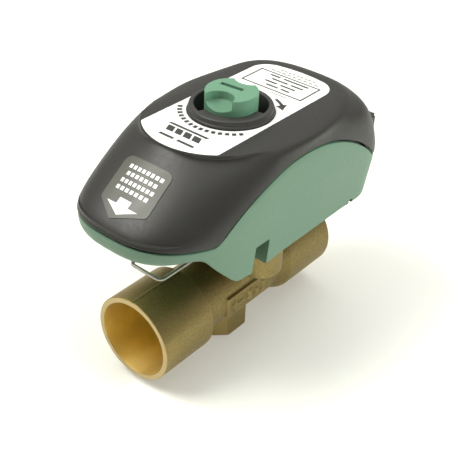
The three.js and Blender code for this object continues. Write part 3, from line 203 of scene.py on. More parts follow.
def rounded(points, steps=4):
    """A closed outline with its corners rounded: each point is (a, b) or (a, b, radius)."""
    outline = []
    for i, point in enumerate(points):
        p = np.array(point[:2], float)
        radius = point[2] if len(point) > 2 else 0
        if radius <= 0:
            outline.append(p)
            continue
        before = np.array(points[i - 1][:2], float) - p
        after = np.array(points[(i + 1) % len(points)][:2], float) - p
        length_a, length_b = np.linalg.norm(before), np.linalg.norm(after)
        before, after = before / length_a, after / length_b
        half = acos(np.clip(before @ after, -1, 1)) / 2
        reach = min(radius / tan(half), length_a * 0.49, length_b * 0.49)
        radius = reach * tan(half)
        centre = p + (before + after) / np.linalg.norm(before + after) * (radius / sin(half))
        start, end = p + before * reach - centre, p + after * reach - centre
        for k in range(steps + 1):
            arm = mix(start, end, k / steps)
            outline.append(centre + arm * (radius / np.linalg.norm(arm)))
    return outline


def lathe(name, profile, axis="Z", centre=(0, 0), segments=128):
    """Turns a closed profile of (radius, height) points round Z at centre, or round the waterway for X."""
    profile = np.array(rounded(profile))
    angles = np.linspace(0, 2 * pi, segments, endpoint=False)
    radius = profile[:, 0][:, None]
    height = profile[:, 1][:, None] + 0 * angles
    across, along = radius * np.cos(angles), radius * np.sin(angles)
    if axis == "Z":
        points = np.stack([across + centre[0], along + centre[1], height], -1)
    else:
        points = np.stack([height, across, along + AXIS_Z], -1)
    faces = ring_faces(len(profile), segments, closed_rows=True)
    return mesh_object(name, points.reshape(-1, 3), faces)


def rod(name, radius, low, high, **settings):
    return lathe(name, [(0, low), (radius, low), (radius, high), (0, high)], **settings)


def laid(obj, place, axis):
    """Gives a piece made along Z a quarter turn about axis and moves it to a place in millimetres."""
    quarter = Matrix.Rotation(pi / 2, 4, axis)
    obj.data.transform(Matrix.Translation([c * MM for c in place]) @ quarter)
    return obj


def prism(name, outline, low, high, axis="Z"):
    """An outline raised between two heights: in X and Y along Z, or in X and Z along Y."""
    outline = [tuple(p[:2]) for p in outline]
    count = len(outline)
    points = [(u, v, low) for u, v in outline] + [(u, v, high) for u, v in outline]
    if axis == "Y":
        points = [(u, w, v) for u, v, w in points]
    faces = ring_faces(2, count) + [tuple(range(count)), tuple(range(count, 2 * count))]
    return mesh_object(name, points, faces)


def box(name, x0, x1, y0, y1, z0, z1):
    low, high = sorted((y0, y1))
    return prism(name, [(x0, low), (x1, low), (x1, high), (x0, high)], z0, z1)


def applied(obj, kind, **settings):
    """Runs one modifier on the mesh and keeps its result."""
    modifier = obj.modifiers.new(kind, kind)
    for key, value in settings.items():
        setattr(modifier, key, value)
    graph = bpy.context.evaluated_depsgraph_get()
    mesh = bpy.data.meshes.new_from_object(obj.evaluated_get(graph))
    obj.modifiers.clear()
    obj.data = mesh
    return obj


def boolean(obj, operation, *tools):
    for tool in tools:
        applied(obj, "BOOLEAN", object=tool, operation=operation, solver="EXACT")
        bpy.data.objects.remove(tool)
    return obj


def joined(obj, *others):
    """Puts the meshes of others into obj, as solids of their own."""
    work = bmesh.new()
    work.from_mesh(obj.data)
    for other in others:
        work.from_mesh(other.data)
        bpy.data.objects.remove(other)
    work.to_mesh(obj.data)
    work.free()
    return obj


def bevelled(obj, width, segments=2, degrees=35):
    settings = {"limit_method": "ANGLE", "angle_limit": radians(degrees), "use_clamp_overlap": True}
    return applied(obj, "BEVEL", width=width * MM, segments=segments, **settings)


def soft(obj, voxel, iterations, factor=0.5):
    """Remeshes a piece evenly and rounds its edges, as a casting or moulding has them."""
    applied(obj, "REMESH", mode="VOXEL", voxel_size=voxel * MM)
    return applied(obj, "SMOOTH", factor=factor, iterations=iterations)


def piece(obj, material, body, slot, *replaced, sharp=32):
    """Gives a finished mesh its material, shading and body, and hides the CAD nodes it replaces."""
    obj.data.materials.clear()
    for m in material if isinstance(material, list) else [material]:
        obj.data.materials.append(m)
    obj.data.shade_smooth()
    obj.data.set_sharp_from_angle(angle=radians(sharp))
    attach(obj, body)
    if replaced:
        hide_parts(*replaced)
    return obj


def paint(obj, index, chosen):
    """Gives the material index to each face whose centre, in millimetres, is chosen."""
    for polygon in obj.data.polygons:
        if chosen(polygon.center / MM, polygon.normal):
            polygon.material_index = index


# ---------- materials


class Nodes:
    """A short way to write a material's node tree."""

    def __init__(self, name, color, roughness, metallic=0.0):
        self.material = bpy.data.materials.new(name)
        self.material.use_nodes = True
        self.tree = self.material.node_tree
        self.shader = self.tree.nodes["Principled BSDF"]
        self.shader.inputs["Base Color"].default_value = (*color, 1)
        self.shader.inputs["Roughness"].default_value = roughness
        self.shader.inputs["Metallic"].default_value = metallic
        self.place = self.node("ShaderNodeTexCoord").outputs["Object"]

    def node(self, kind, **inputs):
        made = self.tree.nodes.new(kind)
        for key, value in inputs.items():
            self.put(made.inputs[key.replace("_", " ")], value)
        return made

    def put(self, socket, value):
        if isinstance(value, bpy.types.NodeSocket):
            self.tree.links.new(value, socket)
        else:
            socket.default_value = value

    def noise(self, scale, detail=3.0, stretch=None):
        """Noise with features about 1/scale metres across."""
        vector = self.place
        if stretch:
            vector = self.node("ShaderNodeMapping", Vector=self.place, Scale=stretch).outputs[0]
        made = self.node("ShaderNodeTexNoise", Vector=vector, Scale=scale, Detail=detail)
        return made.outputs["Fac"]

    def ramp(self, value, low, high, start=0.3, end=0.7):
        """Turns a value into a range of numbers or colours."""
        if isinstance(low, (tuple, list)):
            made = self.node("ShaderNodeValToRGB", Fac=value)
            first, last = made.color_ramp.elements
            first.position, last.position = start, end
            first.color, last.color = (*low, 1), (*high, 1)
            return made.outputs["Color"]
        made = self.node("ShaderNodeMapRange", Value=value)
        for key, number in zip(("From Min", "From Max", "To Min", "To Max"), (start, end, low, high)):
            made.inputs[key].default_value = number
        return made.outputs["Result"]

    def edges(self, low=0.49, high=0.56):
        """1 on outer edges, where a painted highlight goes, 0 on flat faces."""
        point = self.node("ShaderNodeNewGeometry").outputs["Pointiness"]
        return self.ramp(point, 0.0, 1.0, low, high)

    def blend(self, share, first, second):
        made = self.tree.nodes.new("ShaderNodeMix")
        made.data_type = "RGBA"
        self.put(made.inputs["Factor"], share)
        for socket, value in zip([s for s in made.inputs if s.type == "RGBA"], (first, second)):
            self.put(socket, value if isinstance(value, bpy.types.NodeSocket) else (*value, 1))
        return next(s for s in made.outputs if s.type == "RGBA")

    def color(self, value):
        self.put(self.shader.inputs["Base Color"], value)

    def rough(self, value):
        self.put(self.shader.inputs["Roughness"], value)

    def bump(self, height, distance, strength=1.0):
        """Adds relief of the height given, in metres, on top of what is there."""
        made = self.node("ShaderNodeBump", Height=height, Distance=distance, Strength=strength)
        before = self.shader.inputs["Normal"].links
        if before:
            self.put(made.inputs["Normal"], before[0].from_socket)
        self.put(self.shader.inputs["Normal"], made.outputs["Normal"])


def srgb(*values):
    """A colour given as 0 to 255 display values."""
    linear = []
    for v in values:
        v = v / 255
        linear.append(v / 12.92 if v <= 0.04045 else ((v + 0.055) / 1.055) ** 2.4)
    return tuple(linear)


def scaled(color, factor):
    return tuple(c * factor for c in color)


def plastic(name, color, roughness, grain=0.00002, grain_scale=3500, mottle=0.05):
    """Moulded plastic with a spark-eroded grain and a slight unevenness of tone."""
    m = Nodes(name, color, roughness)
    tone = m.noise(28, 4)
    m.color(m.ramp(tone, scaled(color, 1 - mottle), scaled(color, 1 + mottle)))
    m.rough(m.ramp(m.noise(900, 2), roughness - 0.04, roughness + 0.05))
    m.bump(m.noise(grain_scale, 2), grain)
    m.shader.inputs["Specular IOR Level"].default_value = 0.45
    return m.material


def cast_brass(name, color):
    """Sand-cast brass with a fine grain; a painted highlight makes its outer edges lighter than its hollows.
    """
    m = Nodes(name, color, 0.42, 1.0)
    patches = m.ramp(m.noise(1900, 3), scaled(color, 0.7), scaled(color, 1.3))
    # painted highlight: the outer edges are lightened to 1.45 times the brass colour
    m.color(m.blend(m.edges(), patches, scaled(color, 1.45)))
    m.rough(m.ramp(m.noise(600, 4), 0.46, 0.56))
    m.bump(m.noise(1400, 4), 0.00009)
    m.bump(m.noise(300, 2), 0.00003, 0.5)
    return m.material


def turned_brass(name, color, roughness):
    """Brass turned on a lathe round the waterway, with fine tool marks."""
    m = Nodes(name, color, roughness, 1.0)
    m.color(m.ramp(m.noise(220, 4), scaled(color, 0.95), scaled(color, 1.05)))
    marks = m.noise(700, 3, stretch=(9, 0.6, 0.6))
    m.rough(m.ramp(marks, roughness - 0.04, roughness + 0.08))
    m.bump(marks, 0.000004)
    return m.material


def metal(name, color, roughness):
    m = Nodes(name, color, roughness, 1.0)
    m.color(m.ramp(m.noise(300, 3), scaled(color, 0.9), scaled(color, 1.08)))
    streaks = m.noise(1200, 3)
    m.rough(m.ramp(streaks, roughness - 0.04, roughness + 0.08))
    m.bump(streaks, 0.000001)
    return m.material


def film(name, color, roughness=0.32):
    """Printed label film over a slightly wavy face."""
    m = Nodes(name, color, roughness)
    m.color(m.ramp(m.noise(60, 3), scaled(color, 0.97), scaled(color, 1.02)))
    m.rough(m.ramp(m.noise(150, 3), roughness - 0.04, roughness + 0.07))
    m.bump(m.noise(90, 2), 0.00008, 0.4)
    return m.material


COVER_MAT = plastic("charcoal_moulding", (0.021, 0.0205, 0.0185), 0.44, 0.000035, 2600, 0.06)
RING_MAT = plastic("ring_moulding", (0.032, 0.031, 0.029), 0.46, 0.00003, 2600, 0.05)
GREEN_MAT = plastic("sea_green_moulding", (0.105, 0.193, 0.128), 0.46, 0.00002, 2400, 0.035)
KNOB_MAT = plastic("knob_green_moulding", (0.120, 0.262, 0.165), 0.5, 0.00004, 2000, 0.06)
BLACK_MAT = plastic("black_moulding", (0.012, 0.012, 0.012), 0.4, 0.00002, 3000, 0.05)
ACETAL_MAT = plastic("acetal", srgb(222, 219, 208), 0.4, 0.00001, 2500, 0.03)
SEAT_MAT = plastic("fluoropolymer", srgb(233, 231, 223), 0.35, 0.000008, 2500, 0.03)
RUBBER_MAT = plastic("seal_rubber", (0.012, 0.012, 0.012), 0.7, 0.00002, 3000, 0.1)
SLEEVE_MAT = plastic("capacitor_sleeve", srgb(38, 48, 58), 0.35, 0.00001, 2500, 0.05)
BOARD_MAT = plastic("solder_resist", srgb(31, 90, 58), 0.35, 0.00002, 900, 0.12)
CAST_MAT = cast_brass("cast_brass", (0.280, 0.218, 0.088))
TURNED_MAT = turned_brass("turned_brass", (0.45, 0.35, 0.18), 0.36)
BORE_MAT = turned_brass("bore_brass", (0.90, 0.72, 0.28), 0.45)
STEEL_MAT = metal("spring_steel", (0.46, 0.45, 0.41), 0.36)
BRASS = [CAST_MAT, BORE_MAT, TURNED_MAT]
CHROME_MAT = metal("chrome", (0.75, 0.76, 0.77), 0.08)
LABEL_MAT = film("label_film", srgb(238, 238, 234))
GREY_LABEL_MAT = film("nose_label_film", (0.080, 0.082, 0.066), 0.42)
INK_MAT = plastic("label_ink", srgb(52, 52, 50), 0.4, 0.000004, 2500, 0.08)
GREY_INK_MAT = plastic("label_grey_ink", srgb(112, 112, 108), 0.4, 0.000004, 2500, 0.06)
WHITE_INK_MAT = plastic("nose_label_ink", srgb(244, 244, 240), 0.4, 0.000004, 2500, 0.03)

# ---------- the actuator's envelope


def outline(place, z, inset=0.0):
    """Points of the plan outline at the heights z, drawn in by inset. Place runs once round, from 0 to 1:
    the nose to 0.4, a flank to 0.5, the tail to 0.9 and the other flank to 1."""
    fall = np.clip((TOP_Z - z) / (TOP_Z - SEAM_LEVEL), 0, 1)
    rear_fall = np.clip((TOP_Z - z) / (TOP_Z - REAR_LEVEL), 0, 1)
    side = (1 - (1 - fall) ** SIDE_ROUND) ** (1 / SIDE_ROUND)
    nose = (1 - (1 - fall) ** (NOSE_POWER + NOSE_END * fall**4)) ** NOSE_FALL
    tail = (1 - (1 - rear_fall) ** REAR_ROUND) ** (1 / REAR_ROUND)
    crest = np.exp(-fall / 0.03)
    half = mix(TOP_HALF, FULL_HALF, side) - np.maximum(0, SEAM_LEVEL - z) * SIDE_DRAFT - inset
    front = mix(TOP_FRONT_X, FULL_FRONT_X, nose) + inset
    rear = mix(TOP_REAR_X, FULL_REAR_X, tail) - np.maximum(0, REAR_LEVEL - z) * REAR_DRAFT - inset
    front_start = -2 - 8 * side - 14 * crest
    rear_start = 30 + 8 * rear_fall
    depth = (fall / SWELL_LEVEL * np.exp(1 - fall / SWELL_LEVEL)) ** 2
    front_power = 2 / (1.85 + 0.95 * fall + 0.5 * crest - 0.12 * depth)
    rear_power = 2 / (2.5 + 2.75 * rear_fall)

    turn = np.clip(1 - place / 0.2, -1, 1) + 0 * z
    angle = turn * pi / 2
    nose_x = mix(front_start, front, np.abs(np.cos(angle)) ** front_power)
    nose_y = half * np.sign(turn) * np.abs(np.sin(angle)) ** front_power
    share = np.minimum(1, np.abs(turn) / 0.75)
    flat_y = half * share * np.sign(turn)
    arc = np.sqrt(np.maximum(0, CREST_ARC**2 - flat_y**2))
    flat_x = CREST_APEX_X + CREST_ARC - arc + inset
    flat_x = mix(flat_x, CREST_SIDE_X, np.clip((np.abs(turn) - 0.75) / 0.25, 0, 1))
    nose_x, nose_y = mix(nose_x, flat_x, crest), mix(nose_y, flat_y, crest)
    flank_x = mix(front_start, CREST_SIDE_X, crest)

    turn = np.clip((place - 0.5) / 0.2 - 1, -1, 1) + 0 * z
    angle = turn * pi / 2
    tail_x = mix(rear_start, rear, np.abs(np.cos(angle)) ** rear_power)
    tail_y = half * np.sign(turn) * np.abs(np.sin(angle)) ** rear_power

    out_x = mix(flank_x, rear_start, np.clip((place - 0.4) / 0.1, 0, 1))
    back_x = mix(rear_start, flank_x, np.clip((place - 0.9) / 0.1, 0, 1))
    zone = [place + 0 * z < end for end in (0.4, 0.5, 0.9)]
    x = np.select(zone, [nose_x, out_x, tail_x], back_x)
    y = np.select(zone, [nose_y, -half, tail_y], half)
    swell = sum(share * np.exp(-(((x - at) / reach) ** 2)) for share, at, reach in SHOULDER_SWELL)
    return np.stack([x, y * (1 + swell * depth), z + 0 * place], -1)


def even_places(count):
    """Places round the outline at equal steps along its full size."""
    dense = np.linspace(0, 1, 6001)[:-1]
    points = outline(dense, np.full(6000, SEAM_LEVEL))[:, :2]
    steps = np.linalg.norm(np.roll(points, -1, 0) - points, axis=1)
    length = np.concatenate([[0], np.cumsum(steps)])
    wanted = np.linspace(0, length[-1], count, endpoint=False)
    return np.interp(wanted, length, np.append(dense, 1.0))


PLACES = even_places(420)


def seam_height(x):
    """The parting line at x: a gently falling nose, a long arc and a level tail."""
    nose = NOSE_SEAM_Z + (KINK_Z - NOSE_SEAM_Z) / (KINK_X - FULL_FRONT_X) * (x - FULL_FRONT_X)
    arc = ARCH_Z + np.sqrt(np.maximum(0, ARCH_R**2 - (x - ARCH_X) ** 2))
    front = smooth_max(nose, arc, 0.9)
    return np.where(x < 0, front, np.maximum(arc, REAR_SEAM_Z))


def heel_height(x):
    """The rounded heel of the base: a quarter round, then a straight slope up to the tail."""
    centre_x = HEEL_X - HEEL_R
    bend = SKIRT_Z + HEEL_R - np.sqrt(np.maximum(0, HEEL_R**2 - np.maximum(0, x - centre_x) ** 2))
    slope = SKIRT_Z + HEEL_R + (x - HEEL_X) * HEEL_SLOPE
    return np.where(x < HEEL_X, bend, slope)


def underside(x, level=SKIRT_Z, nose=BAND_LOW_Z, shift=0.0):
    """The lower edge of the base at x, from nose to heel."""
    tongue = BAND_Z + shift + TONGUE_SLOPE * (x - TONGUE_X)
    front = smooth_max(smooth_min(nose + 0 * x, tongue, 1.2), level + 0 * x, 1.8)
    return np.maximum(front, heel_height(x))


def meet(height, inset):
    """The height at which each column of the envelope meets a side-view line."""
    low = np.full(len(PLACES), 40.0)
    high = np.full(len(PLACES), TOP_Z)
    for _ in range(40):
        middle = (low + high) / 2
        above = middle > height(outline(PLACES, middle, inset)[:, 0])
        low, high = np.where(above, low, middle), np.where(above, middle, high)
    return middle


def shell_rows(rows, recess=0.0):
    """Stacks rows of (heights, inset) into points."""
    return np.stack([outline(PLACES, z + 0 * PLACES, recess + inset) for z, inset in rows])


# ---------- cover


def cover():
    seam = meet(seam_height, 0)
    edge = 0.3
    rows = []
    for share in np.linspace(0, 1, 44):
        drop = 1 - cos(share * pi / 2)
        rows.append((mix(TOP_Z, seam + edge, drop), 0.0))
    rows += [(seam + 0.12, 0.02), (seam + 0.03, 0.09), (seam, 0.25)]
    points = shell_rows(rows)
    faces = ring_faces(len(rows), len(PLACES)) + [tuple(range(len(PLACES)))]
    shell = mesh_object("cover_shell", points.reshape(-1, 3), faces)
    places = [v.co / MM for v in shell.data.vertices]
    skin = BVHTree.FromPolygons(places, [tuple(p.vertices) for p in shell.data.polygons])
    applied(shell, "SOLIDIFY", thickness=WALL * MM, offset=-1, use_even_offset=False)
    low, high = corners("terminal_block")
    margin = 0.3
    y, z0, z1 = high[1] + margin, low[2] - margin, high[2] + margin
    opening = prism("opening", rounded([(-y, z0, 1), (y, z0, 1), (y, z1, 1), (-y, z1, 1)]), 48, 70)
    opening.data.transform(Matrix(((0, 0, 1, 0), (1, 0, 0, 0), (0, 1, 0, 0), (0, 0, 0, 1))))
    well = rod("well", WELL_OUTER_R + 0.3, 70, 95)
    boolean(shell, "DIFFERENCE", opening, well)
    piece(shell, COVER_MAT, "actuator", "charcoal_plastic", "cover", sharp=40)
    return skin


# ---------- base tray


def underside_roll(x):
    """The radius of the edge between the base's wall and its underside: large under the nose."""
    share = np.clip((-36.0 - x) / 12, 0, 1)
    return mix(0.45, 4.8, share**2 * (3 - 2 * share))


def wall_inset(x):
    return np.maximum(WALL, underside_roll(x) + 0.2)


def skirt():
    """The wall of the base: one closed band with rounded edges and a lip that reaches up into the cover."""
    top = meet(lambda x: seam_height(x) - SEAM_GAP, BASE_RECESS)
    bottom = meet(underside, BASE_RECESS)
    x = outline(PLACES, bottom, BASE_RECESS)[:, 0]
    chamfer = 0.32 * np.clip((x + 8) / 4, 0, 1) * np.clip((38 - x) / 1.5, 0, 1)
    roll = underside_roll(x)
    inner = wall_inset(x)
    strip = np.maximum(roll + 0.05, 1.35)
    edge = 0.4
    rows = [(top, edge), (top - 0.12, 0.12), (top - edge, 0.0)]
    for share in np.linspace(0, 1, 16)[1:]:
        rows.append((mix(top - edge, bottom + strip + 0.1, share), 0.0))
    rows += [(bottom + strip, chamfer), (bottom + roll, chamfer)]
    steps = 12
    for k in range(1, steps + 1):
        angle = k / steps * pi / 2
        rows.append((bottom + roll * (1 - sin(angle)), chamfer + roll * (1 - cos(angle))))
    rows += [(bottom, inner - 0.1), (bottom + 0.1, inner), (bottom + 2, inner)]
    lip = 1.9
    rows += [(top - 2.6, WALL), (top - 2, 3.6), (top + lip, 3.6), (top + lip, 2.75), (top, 2.7)]
    points = shell_rows(rows, BASE_RECESS)
    return mesh_object("base", points.reshape(-1, 3), ring_faces(len(rows), len(PLACES), True))


def floor_slab():
    """The floor of the tray, which follows the underside from the nose to the heel."""
    thickness = 2.0
    nose, shift, step = BAND_LOW_Z + 1, 1.44 * thickness, 0.1
    rows = []
    spans = ((-55.2, -20, 70), (-18, 42, 16), (43, 55.2, 24))
    for x in np.concatenate([np.linspace(*span) for span in spans]):
        near_x = np.array([x - step, x, x + step])
        behind, low, ahead = [float(z) for z in underside(near_x, DECK_Z, nose, shift)]
        low = max(low, float(heel_height(x)) + 0.05)
        slope = (ahead - behind) / (2 * step)
        high = low + thickness * sqrt(1 + min(4, slope**2))
        inset = BASE_RECESS + float(wall_inset(np.array(x))) - 0.3
        ring = outline(PLACES, np.full(len(PLACES), low), inset)
        near = ring[ring[:, 1] > 0]
        near = near[np.argsort(near[:, 0])]
        half = float(np.interp(x, near[:, 0], near[:, 1]))
        rows.append([(x, -half, low), (x, half, low), (x, half, high), (x, -half, high)])
    points = np.array(rows).reshape(-1, 3)
    last = len(points) - 4
    faces = ring_faces(len(rows), 4) + [(0, 1, 2, 3), (last, last + 1, last + 2, last + 3)]
    return mesh_object("floor_slab", points, faces)


def side_slot(margin, corner, ya, yb, bottom):
    """The side slot grown by margin, between two Y values."""
    points = [
        (SLOT_FOOT_X - margin, bottom),
        (SLOT_REAR_X + margin, bottom),
        (SLOT_REAR_X + margin, SLOT_TOP + margin, corner),
        (SLOT_HEAD_X - margin, SLOT_TOP + margin, corner),
        (SLOT_FOOT_X - margin, SKIRT_Z + 0.1),
    ]
    return prism("slot", rounded(points), min(ya, yb), max(ya, yb), axis="Y")


def sleeve(x, y, outer, bore, top):
    """A screw post on the tray's floor, with its foot cut to the underside."""
    profile = [(bore, 48), (outer, 48), (outer, top, 0.3), (bore, top)]
    post = lathe("post", profile, centre=(x, y), segments=40)
    xs = np.linspace(x - outer - 1, x + outer + 1, 12)
    line = [(u, float(underside(np.array(u), DECK_Z, BAND_LOW_Z, 2.9)) + 0.3) for u in xs]
    below = prism("below", [(xs[0], 30)] + [(xs[-1], 30)] + line[::-1], y - 9, y + 9, axis="Y")
    return boolean(post, "DIFFERENCE", below)


def base_tray():
    base = skirt()
    for side in (-1, 1):
        outer_y = side * (FULL_HALF + 3)
        inner_y = side * (FULL_HALF - WALL - SLOT_DEPTH)
        wall_y = side * (FULL_HALF - 2.2)
        boolean(base, "UNION", side_slot(1.6, 0, wall_y, inner_y - side * 1.6, SKIRT_Z + 0.1))
        notch = box("notch", NOTCH_X0, NOTCH_X1, outer_y, side * (FULL_HALF - 6), 40, NOTCH_TOP)
        boolean(base, "DIFFERENCE", side_slot(0, 0.7, outer_y, inner_y, 40), notch)
    core = floor_slab()
    for side in (-1, 1):
        inner_y = side * (FULL_HALF - WALL - SLOT_DEPTH)
        boolean(core, "DIFFERENCE", side_slot(0.8, 0, side * FULL_HALF, inner_y - side * 0.8, 40))
    collar = lathe("collar", [(4, 44.5), (12, 44.5, 0.5), (12, 51), (4, 51)])
    boss = lathe("boss", [(4, 50.5), (10.2, 50.5), (10.2, 54.2, 0.3), (4, 54.2)])
    boolean(core, "UNION", collar, boss)
    neck, mouth = NECK_R + 0.6, 8.5
    bore = lathe("bore", [(0, 40), (neck, 40), (neck, DECK_Z), (mouth, DECK_Z), (mouth, 60), (0, 60)])
    boolean(core, "DIFFERENCE", bore)
    for side in (-1, 1):
        boolean(core, "DIFFERENCE", box("channel", -14, 14, side * 6.1, side * 8.3, 40, 46.7))
    places, _, recess_r, _ = POSTS[0]
    for place in places:
        boolean(core, "DIFFERENCE", rod("recess", recess_r, 40, 66, centre=place, segments=48))
    posts = [sleeve(x, y, *sizes) for places, *sizes in POSTS for x, y in places]
    joined(base, core, *posts)
    piece(base, GREEN_MAT, "actuator", "green_plastic", "base_tray", sharp=35)


# ---------- knob and ring


def override_knob():
    profile = [(0, KNOB_BOTTOM), (KNOB_R, KNOB_BOTTOM, 0.3), (KNOB_R, KNOB_TOP, 0.35), (0, KNOB_TOP)]
    knob = lathe("knob", profile)
    scoop_x, scoop_r, floor_z = -7.7, 5.3, 95.6
    dish_r = 11.0
    dish_low = floor_z - 1.5
    profile = [(0, dish_low)]
    for k in range(1, 13):
        r = scoop_r * k / 12
        profile.append((r, dish_low + dish_r - sqrt(dish_r**2 - r**2)))
    profile += [(scoop_r, KNOB_TOP + 2), (0, KNOB_TOP + 2)]
    front = lathe("front_scoop", profile, centre=(scoop_x, 0))
    rear = lathe("rear_scoop", [(0, 95.6), (6.2, 95.6, 0.5), (6.2, 101), (0, 101)], centre=(12.4, 0))
    driver_depth = 3.4
    slot = box("driver", 1.0, 2.8, -3.3, 5.9, KNOB_TOP - driver_depth, 101)
    for tool in (front, rear, slot):
        tool.data.transform(Matrix.Rotation(KNOB_TURN, 4, "Z"))
    pocket = lathe("pocket", [(0, 80), (5.9, 80), (5.9, 87.6), (3.3, 87.6), (3.3, 92.4), (0, 92.4)])
    boolean(knob, "DIFFERENCE", front, rear, pocket)
    soft(knob, 0.16, 3)
    boolean(knob, "DIFFERENCE", slot)
    piece(knob, KNOB_MAT, "knob", "knob_green", "override_knob", sharp=50)


def collar_ring():
    inner = 3.5
    floor_z = WELL_FLOOR_Z
    profile = [(inner, floor_z - 1.5, 0.2), (WELL_OUTER_R, floor_z - 1.5, 0.5), (WELL_OUTER_R, TOP_Z + 0.3)]
    profile += [(FLANGE_R, TOP_Z + 0.3, 0.1), (FLANGE_R, TOP_Z + 1.15, 0.2), (RING_R, TOP_Z + 1.35, 0.15)]
    profile += [(RING_R, RING_TOP, 0.65), (WELL_R, RING_TOP, 0.45)]
    profile += [(WELL_R, floor_z, 0.6), (inner, floor_z, 0.2)]
    ring = lathe("ring", profile, segments=192)
    # a shelf in the well beside the front of the knob
    start, end, steps = radians(156), radians(282), 48
    turns = [mix(start, end, k / steps) for k in range(steps + 1)]
    shelf = [((WELL_R + 0.4) * cos(a), (WELL_R + 0.4) * sin(a)) for a in turns]
    shelf += [((KNOB_R + 0.35) * cos(a), (KNOB_R + 0.35) * sin(a)) for a in turns[::-1]]
    boolean(ring, "UNION", prism("shelf", shelf, WELL_FLOOR_Z - 0.5, SHELF_Z))
    piece(ring, RING_MAT, "actuator", "black_plastic", "collar_ring", sharp=50)


def knob_spring():
    """The coil under the knob, made at one length: the real coil shortens as the knob is pushed in, this one
    does not.
    """
    low, high = corners("knob_spring")
    wire, turns, sides, steps = 0.3, 3.5, 12, 210
    radius, foot, rise = high[0] - wire, low[2] + wire, high[2] - low[2] - 2 * wire
    points = []
    for k in range(steps + 1):
        a = 2 * pi * turns * k / steps
        for j in range(sides):
            b = 2 * pi * j / sides
            r = radius + wire * cos(b)
            points.append((r * cos(a), r * sin(a), foot + rise * k / steps + wire * sin(b)))
    last = steps * sides
    faces = ring_faces(steps + 1, sides) + [tuple(range(sides)), tuple(range(last, last + sides))]
    spring = mesh_object("spring_coil", points, faces)
    piece(spring, STEEL_MAT, "actuator", "steel", "knob_spring", sharp=50)
    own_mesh(spring)


# ---------- labels


def label_outline():
    """The outline of the top label: straight sides, a strongly curved front and a rounder rear."""
    points = []
    for apex, arc, corner, side in ((40.9, 54.0, 8.0, 1), (-33.05, 24.5, 1.5, -1)):
        centre_x = apex - side * arc
        corner_y = LABEL_HALF - corner
        lean = asin(corner_y / (arc - corner))
        corner_x = centre_x + side * (arc - corner) * cos(lean)
        turn = 0 if side > 0 else pi
        for cx, cy, r, a0, a1, steps in (
            (corner_x, -side * corner_y, corner, turn - pi / 2, turn - lean, 12),
            (centre_x, 0, arc, turn - lean, turn + lean, 28),
            (corner_x, side * corner_y, corner, turn + lean, turn + pi / 2, 12),
        ):
            for k in range(steps + 1):
                a = mix(a0, a1, k / steps)
                points.append((cx + r * cos(a), cy + r * sin(a)))
    return points


def print_shape(name, outline_points, z):
    thickness = 0.025
    return prism(name, outline_points, z, z + thickness)


def bar(x0, x1, y0, y1):
    return [(x0, y0), (x1, y0), (x1, y1), (x0, y1)]


def arc_bar(radius, width, start, end, steps=10):
    angles = [radians(mix(start, end, k / steps)) for k in range(steps + 1)]
    outer = [((radius + width) * cos(a), (radius + width) * sin(a)) for a in angles]
    inner = [(radius * cos(a), radius * sin(a)) for a in angles]
    return outer + inner[::-1]


def top_label():
    label = prism("top_film", label_outline(), LABEL_Z - 0.15, LABEL_Z)
    hole = rod("hole", FLANGE_R + 0.3, 85, 95, segments=160)
    boolean(label, "DIFFERENCE", hole)
    piece(label, LABEL_MAT, "actuator", "label_white", "top_label")
    dark, grey = [], []
    # a frame with rows of plain dashes behind the collar
    x0, x1, half, line = 21.7, 34.2, 13.4, 0.7
    for ends in ((x0, x0 + line, -half, half), (x1 - line, x1, -half, half)):
        dark.append(bar(*ends))
    for side in (-1, 1):
        dark.append(bar(x0, x1, *sorted((side * half, side * (half - line)))))
    rows = ((32.0, (7.6, 3.2), (1.6, -9.4)), (29.5, (5.2, -2.0), (-3.4, -8.8)))
    rows += ((27.0, (6.4, 1.0), (-0.6, -7.0)), (24.5, (4.0, -1.4), (-2.6, -6.4)))
    for x, *spans in rows:
        for high, low in spans:
            dark.append(bar(x - 0.5, x + 0.5, low, high))
    for x, low, high in ((37.6, -8.6, 7.4), (35.7, -11.2, 10.4), (20.2, -8.4, -1.0)):
        count = 9
        for k in range(count):
            a, b = mix(low, high, (k + 0.12) / count), mix(low, high, (k + 0.84) / count)
            grey.append(bar(x - 0.35, x + 0.35, a, b))
    # dashes that follow the front of the collar
    count = 15
    for k in range(count):
        start = mix(122, 236, k / count)
        dark.append(arc_bar(16.6, 1.7, start, start + 114 / count * 0.62))
    # an emblem of slanted blocks under a bar, and two lines below it
    dark.append([(-21.3, -7.4), (-20.2, -8.0), (-20.2, 8.6), (-21.3, 9.2)])
    for low, high in ((5.2, 8.2), (1.6, 4.4), (-2.2, 0.8), (-6.2, -3.0)):
        dark.append([(-25.2, low - 1.4), (-22.0, low), (-22.0, high), (-25.2, high - 1.4)])
    for low, high in ((-8.0, -1.0), (0.6, 6.8)):
        dark.append(bar(-28.7, -27.5, low, high))
    # a curved arrow beside the collar
    dark.append(arc_bar(17.5, 1.2, -37, -20))
    head = [(15.9, -36), (20.2, -35), (17.6, -48)]
    tip = [(r * cos(radians(a)), r * sin(radians(a))) for r, a in head]
    dark.append(tip)
    for name, shapes, material in (("dark", dark, INK_MAT), ("grey", grey, GREY_INK_MAT)):
        parts = [print_shape(f"{name}_{i}", s, LABEL_Z - 0.005) for i, s in enumerate(shapes)]
        ink = joined(parts[0], *parts[1:])
        ink.name = f"top_label_print_{name}"
        piece(ink, material, "actuator", "label_white")


